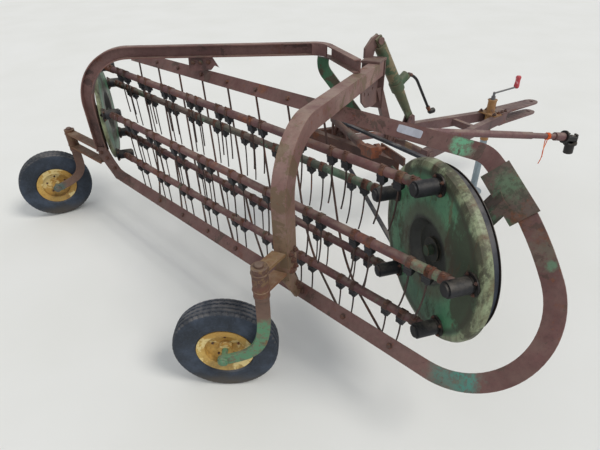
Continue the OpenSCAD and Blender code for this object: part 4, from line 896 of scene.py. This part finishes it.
class RAKE_OT_hose(bpy.types.Operator):
    """The stiff hose with its ferrules and capped coupler, and the twine round the power take-off shaft"""

    bl_idname = "rake.hose"
    bl_label = "Hose and twine"

    def execute(self, context):
        angle = np.linspace(*HOSE_FALLS, 16)
        arc = HOSE_BEND * np.stack([np.sin(angle) - np.sin(HOSE_FALLS[0]), 0 * angle,
                                    np.cos(angle) - np.cos(HOSE_FALLS[0])], 1)
        run = np.linspace(0, HOSE_RUN, 14)[1:, None] * [np.cos(HOSE_FALLS[1]), 0.0, -np.sin(HOSE_FALLS[1])]
        line = in_frame(HOSE_FROM, TONGUE_TURN, np.vstack([arc, arc[-1] + run]))
        hose = swept(line, disc_profile(HOSE_RADIUS, 20))
        hose = piece("lift_hose_bent", hose, "lift_cylinder", "hose_rubber", ("lift_hose",))
        cap = copies(turned(CAP_RINGS, 28), line[-1:], axes_for(level_turn(TONGUE_TURN)[0]))
        cap = piece("lift_coupler", cap, "lift_cylinder", "hose_rubber")
        ferrules = copies(turned(FERRULE_RINGS, 24), line[[0, -3]], axes_for(line[[1, -2]] - line[[0, -3]]))
        ferrules = piece("hose_ferrules", ferrules, "lift_cylinder", "bolt_steel")
        self.twine()
        return {"FINISHED"}

    def twine(self):
        """Turns of twine round the shaft's slip tube, a helix, and two loose ends that hang from it."""
        radius = sizes().twine_wide / 2
        section, reach = disc_profile(radius, 8), SLIP_RADIUS + radius
        along = unit(PTO_TO - PTO_FROM)
        side, up, _ = axes_for(along)[0]
        turns = np.linspace(0, TWINE_TURNS, 160)
        coil = (PTO_FROM + (TWINE_AT + 2.2 * radius * turns)[:, None] * along
                + reach * circle(2 * np.pi * turns, side, up))
        wrap = piece("twine_wrap", swept(coil, section), "pto_shaft", "twine_orange")
        for i, (shift, length, sway) in enumerate(TWINE_ENDS):
            u = np.linspace(0, 1, 24)
            start = PTO_FROM + (TWINE_AT + shift) * along - reach * Z_AXIS
            aside = np.outer(sway * np.sin(np.pi * u) * u, [0.8, -0.6, 0.0])
            line = start - np.outer(u * length, Z_AXIS) + aside
            end = piece(f"twine_end_{i + 1}", swept(line, section), "pto_shaft", "twine_orange")


# Label plate: its middle and half size in the loop's plane, how square it is, and its rings' size and height
LABEL_AT, LABEL_HALF, LABEL_POWER = (256.0, 369.0), (52.0, 15.0), 0.22
LABEL_RINGS = [(0.0, 1.2), (0.9, 1.2), (0.98, 1.2), (1.0, 0.8), (1.0, 0.0)]


class RAKE_OT_label(bpy.types.Operator):
    """Puts the blank plate on the upper rail"""

    bl_idname = "rake.label"
    bl_label = "Blank plate"

    def execute(self, context):
        t = angles(48)
        a, b = (half * np.sign(v) * np.abs(v) ** LABEL_POWER
                for half, v in zip(LABEL_HALF, (np.cos(t), np.sin(t))))
        rings = [on_loop(LABEL_AT[0] + size * a, LABEL_AT[1] + size * b, LOOP_FACE + out)
                 for size, out in LABEL_RINGS]
        plate = sheet_of(np.stack(rings), False, True, True)
        piece("rail_label", plate, "frame", "label_plate")
        return {"FINISHED"}


# Stage


CAMERA_AT = (-2.3507, -2.5302, 1.1683)
CAMERA_YAW, CAMERA_FALL, CAMERA_ROLL = np.radians(75.23), np.radians(34.92), np.radians(-1.52)
FOCAL_PIXELS, FRAME_PIXELS, SENSOR = 451.45, 600.0, 36.0
FLOOR_AT, FLOOR_HALF, FLOOR_TONES = (-1.6, -0.5), 30.0, ((0.86, 0.86, 0.84), (0.9, 0.9, 0.89))
SKY, SKY_STRENGTH = (0.93, 0.96, 1.0, 1.0), 0.62
# Suns: name, strength, angle, turn and colour
SUNS = [
    ("key", 1.55, 0.35, (0.62, 0.28, 0.4), (1.0, 0.97, 0.92)),
    ("fill", 0.35, 1.2, (0.9, -0.5, -0.7), (0.94, 0.97, 1.0)),
]


class RAKE_OT_stage(bpy.types.Operator):
    """Makes the camera, the pale floor and the soft light"""

    bl_idname = "rake.stage"
    bl_label = "Stage"

    def execute(self, context):
        scene = context.scene
        level, left, _ = level_turn(CAMERA_YAW)
        forward = np.cos(CAMERA_FALL) * level - np.sin(CAMERA_FALL) * Z_AXIS
        right, up = -left, np.cross(-left, forward)
        c, s = np.cos(CAMERA_ROLL), np.sin(CAMERA_ROLL)
        right, up = c * right + s * up, -s * right + c * up
        camera = bpy.data.objects.new("photo_camera", bpy.data.cameras.new("photo_camera"))
        scene.collection.objects.link(camera)
        camera.matrix_world = Matrix([*np.stack([right, up, -forward, CAMERA_AT], 1), (0, 0, 0, 1)])
        camera.data.sensor_width = SENSOR
        camera.data.lens = SENSOR * FOCAL_PIXELS / FRAME_PIXELS
        camera.data.clip_start, camera.data.clip_end = 0.05, 100.0
        scene.camera = camera

        side = np.linspace(-FLOOR_HALF, FLOOR_HALF, 3)
        across = np.meshgrid(side + FLOOR_AT[0], side + FLOOR_AT[1], indexing="ij")
        points, faces = sheet_of(np.stack([*across, np.full((3, 3), FLOOR_Z)], -1))
        mesh = bpy.data.meshes.new("floor")
        mesh.from_pydata(points.tolist(), [], faces.tolist())
        floor = bpy.data.objects.new("floor", mesh)
        scene.collection.objects.link(floor)
        f = Finish("floor")
        mesh.materials.append(f.done(Base_Color=f.two(f.noise("floor"), *FLOOR_TONES), Roughness=0.9))

        world = bpy.data.worlds.new("studio")
        scene.world = world
        world.use_nodes = True
        sky = world.node_tree.nodes["Background"].inputs
        sky[0].default_value, sky[1].default_value = SKY, SKY_STRENGTH
        for name, strength, size, turn, colour in SUNS:
            lamp = bpy.data.objects.new(name, bpy.data.lights.new(name, "SUN"))
            lamp.data.energy, lamp.data.angle, lamp.data.color = strength, size, colour
            lamp.rotation_euler = turn
            scene.collection.objects.link(lamp)
        scene.view_settings.view_transform = "Standard"
        return {"FINISHED"}


# Panel and run


OPERATORS = [RAKE_OT_stage, RAKE_OT_finishes, RAKE_OT_hose, RAKE_OT_tyres, RAKE_OT_arms, RAKE_OT_bolts,
             RAKE_OT_clamps, RAKE_OT_welds, RAKE_OT_label]


class RAKE_PT_panel(bpy.types.Panel):
    """Lists the rake's sizes, colours and pieces"""

    bl_idname = "RAKE_PT_panel"
    bl_label = "Hay rake"
    bl_space_type = "VIEW_3D"
    bl_region_type = "UI"
    bl_category = "Rake"

    def draw(self, context):
        for group in (context.scene.rake_sizes, context.scene.rake_colours):
            for key in group.__annotations__:
                self.layout.prop(group, key)
        for operator in OPERATORS:
            self.layout.operator(operator.bl_idname)


CLASSES = [RakeSizes, RakeColours, *OPERATORS, RAKE_PT_panel]


def register():
    for cls in CLASSES:
        bpy.utils.register_class(cls)
    bpy.types.Scene.rake_sizes = PointerProperty(type=RakeSizes)
    bpy.types.Scene.rake_colours = PointerProperty(type=RakeColours)


def unregister():
    del bpy.types.Scene.rake_sizes, bpy.types.Scene.rake_colours
    for cls in reversed(CLASSES):
        bpy.utils.unregister_class(cls)


def main():
    register()
    for operator in OPERATORS:
        group, name = operator.bl_idname.split(".")
        getattr(getattr(bpy.ops, group), name)()
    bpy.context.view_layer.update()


if __name__ == "__main__":
    main()
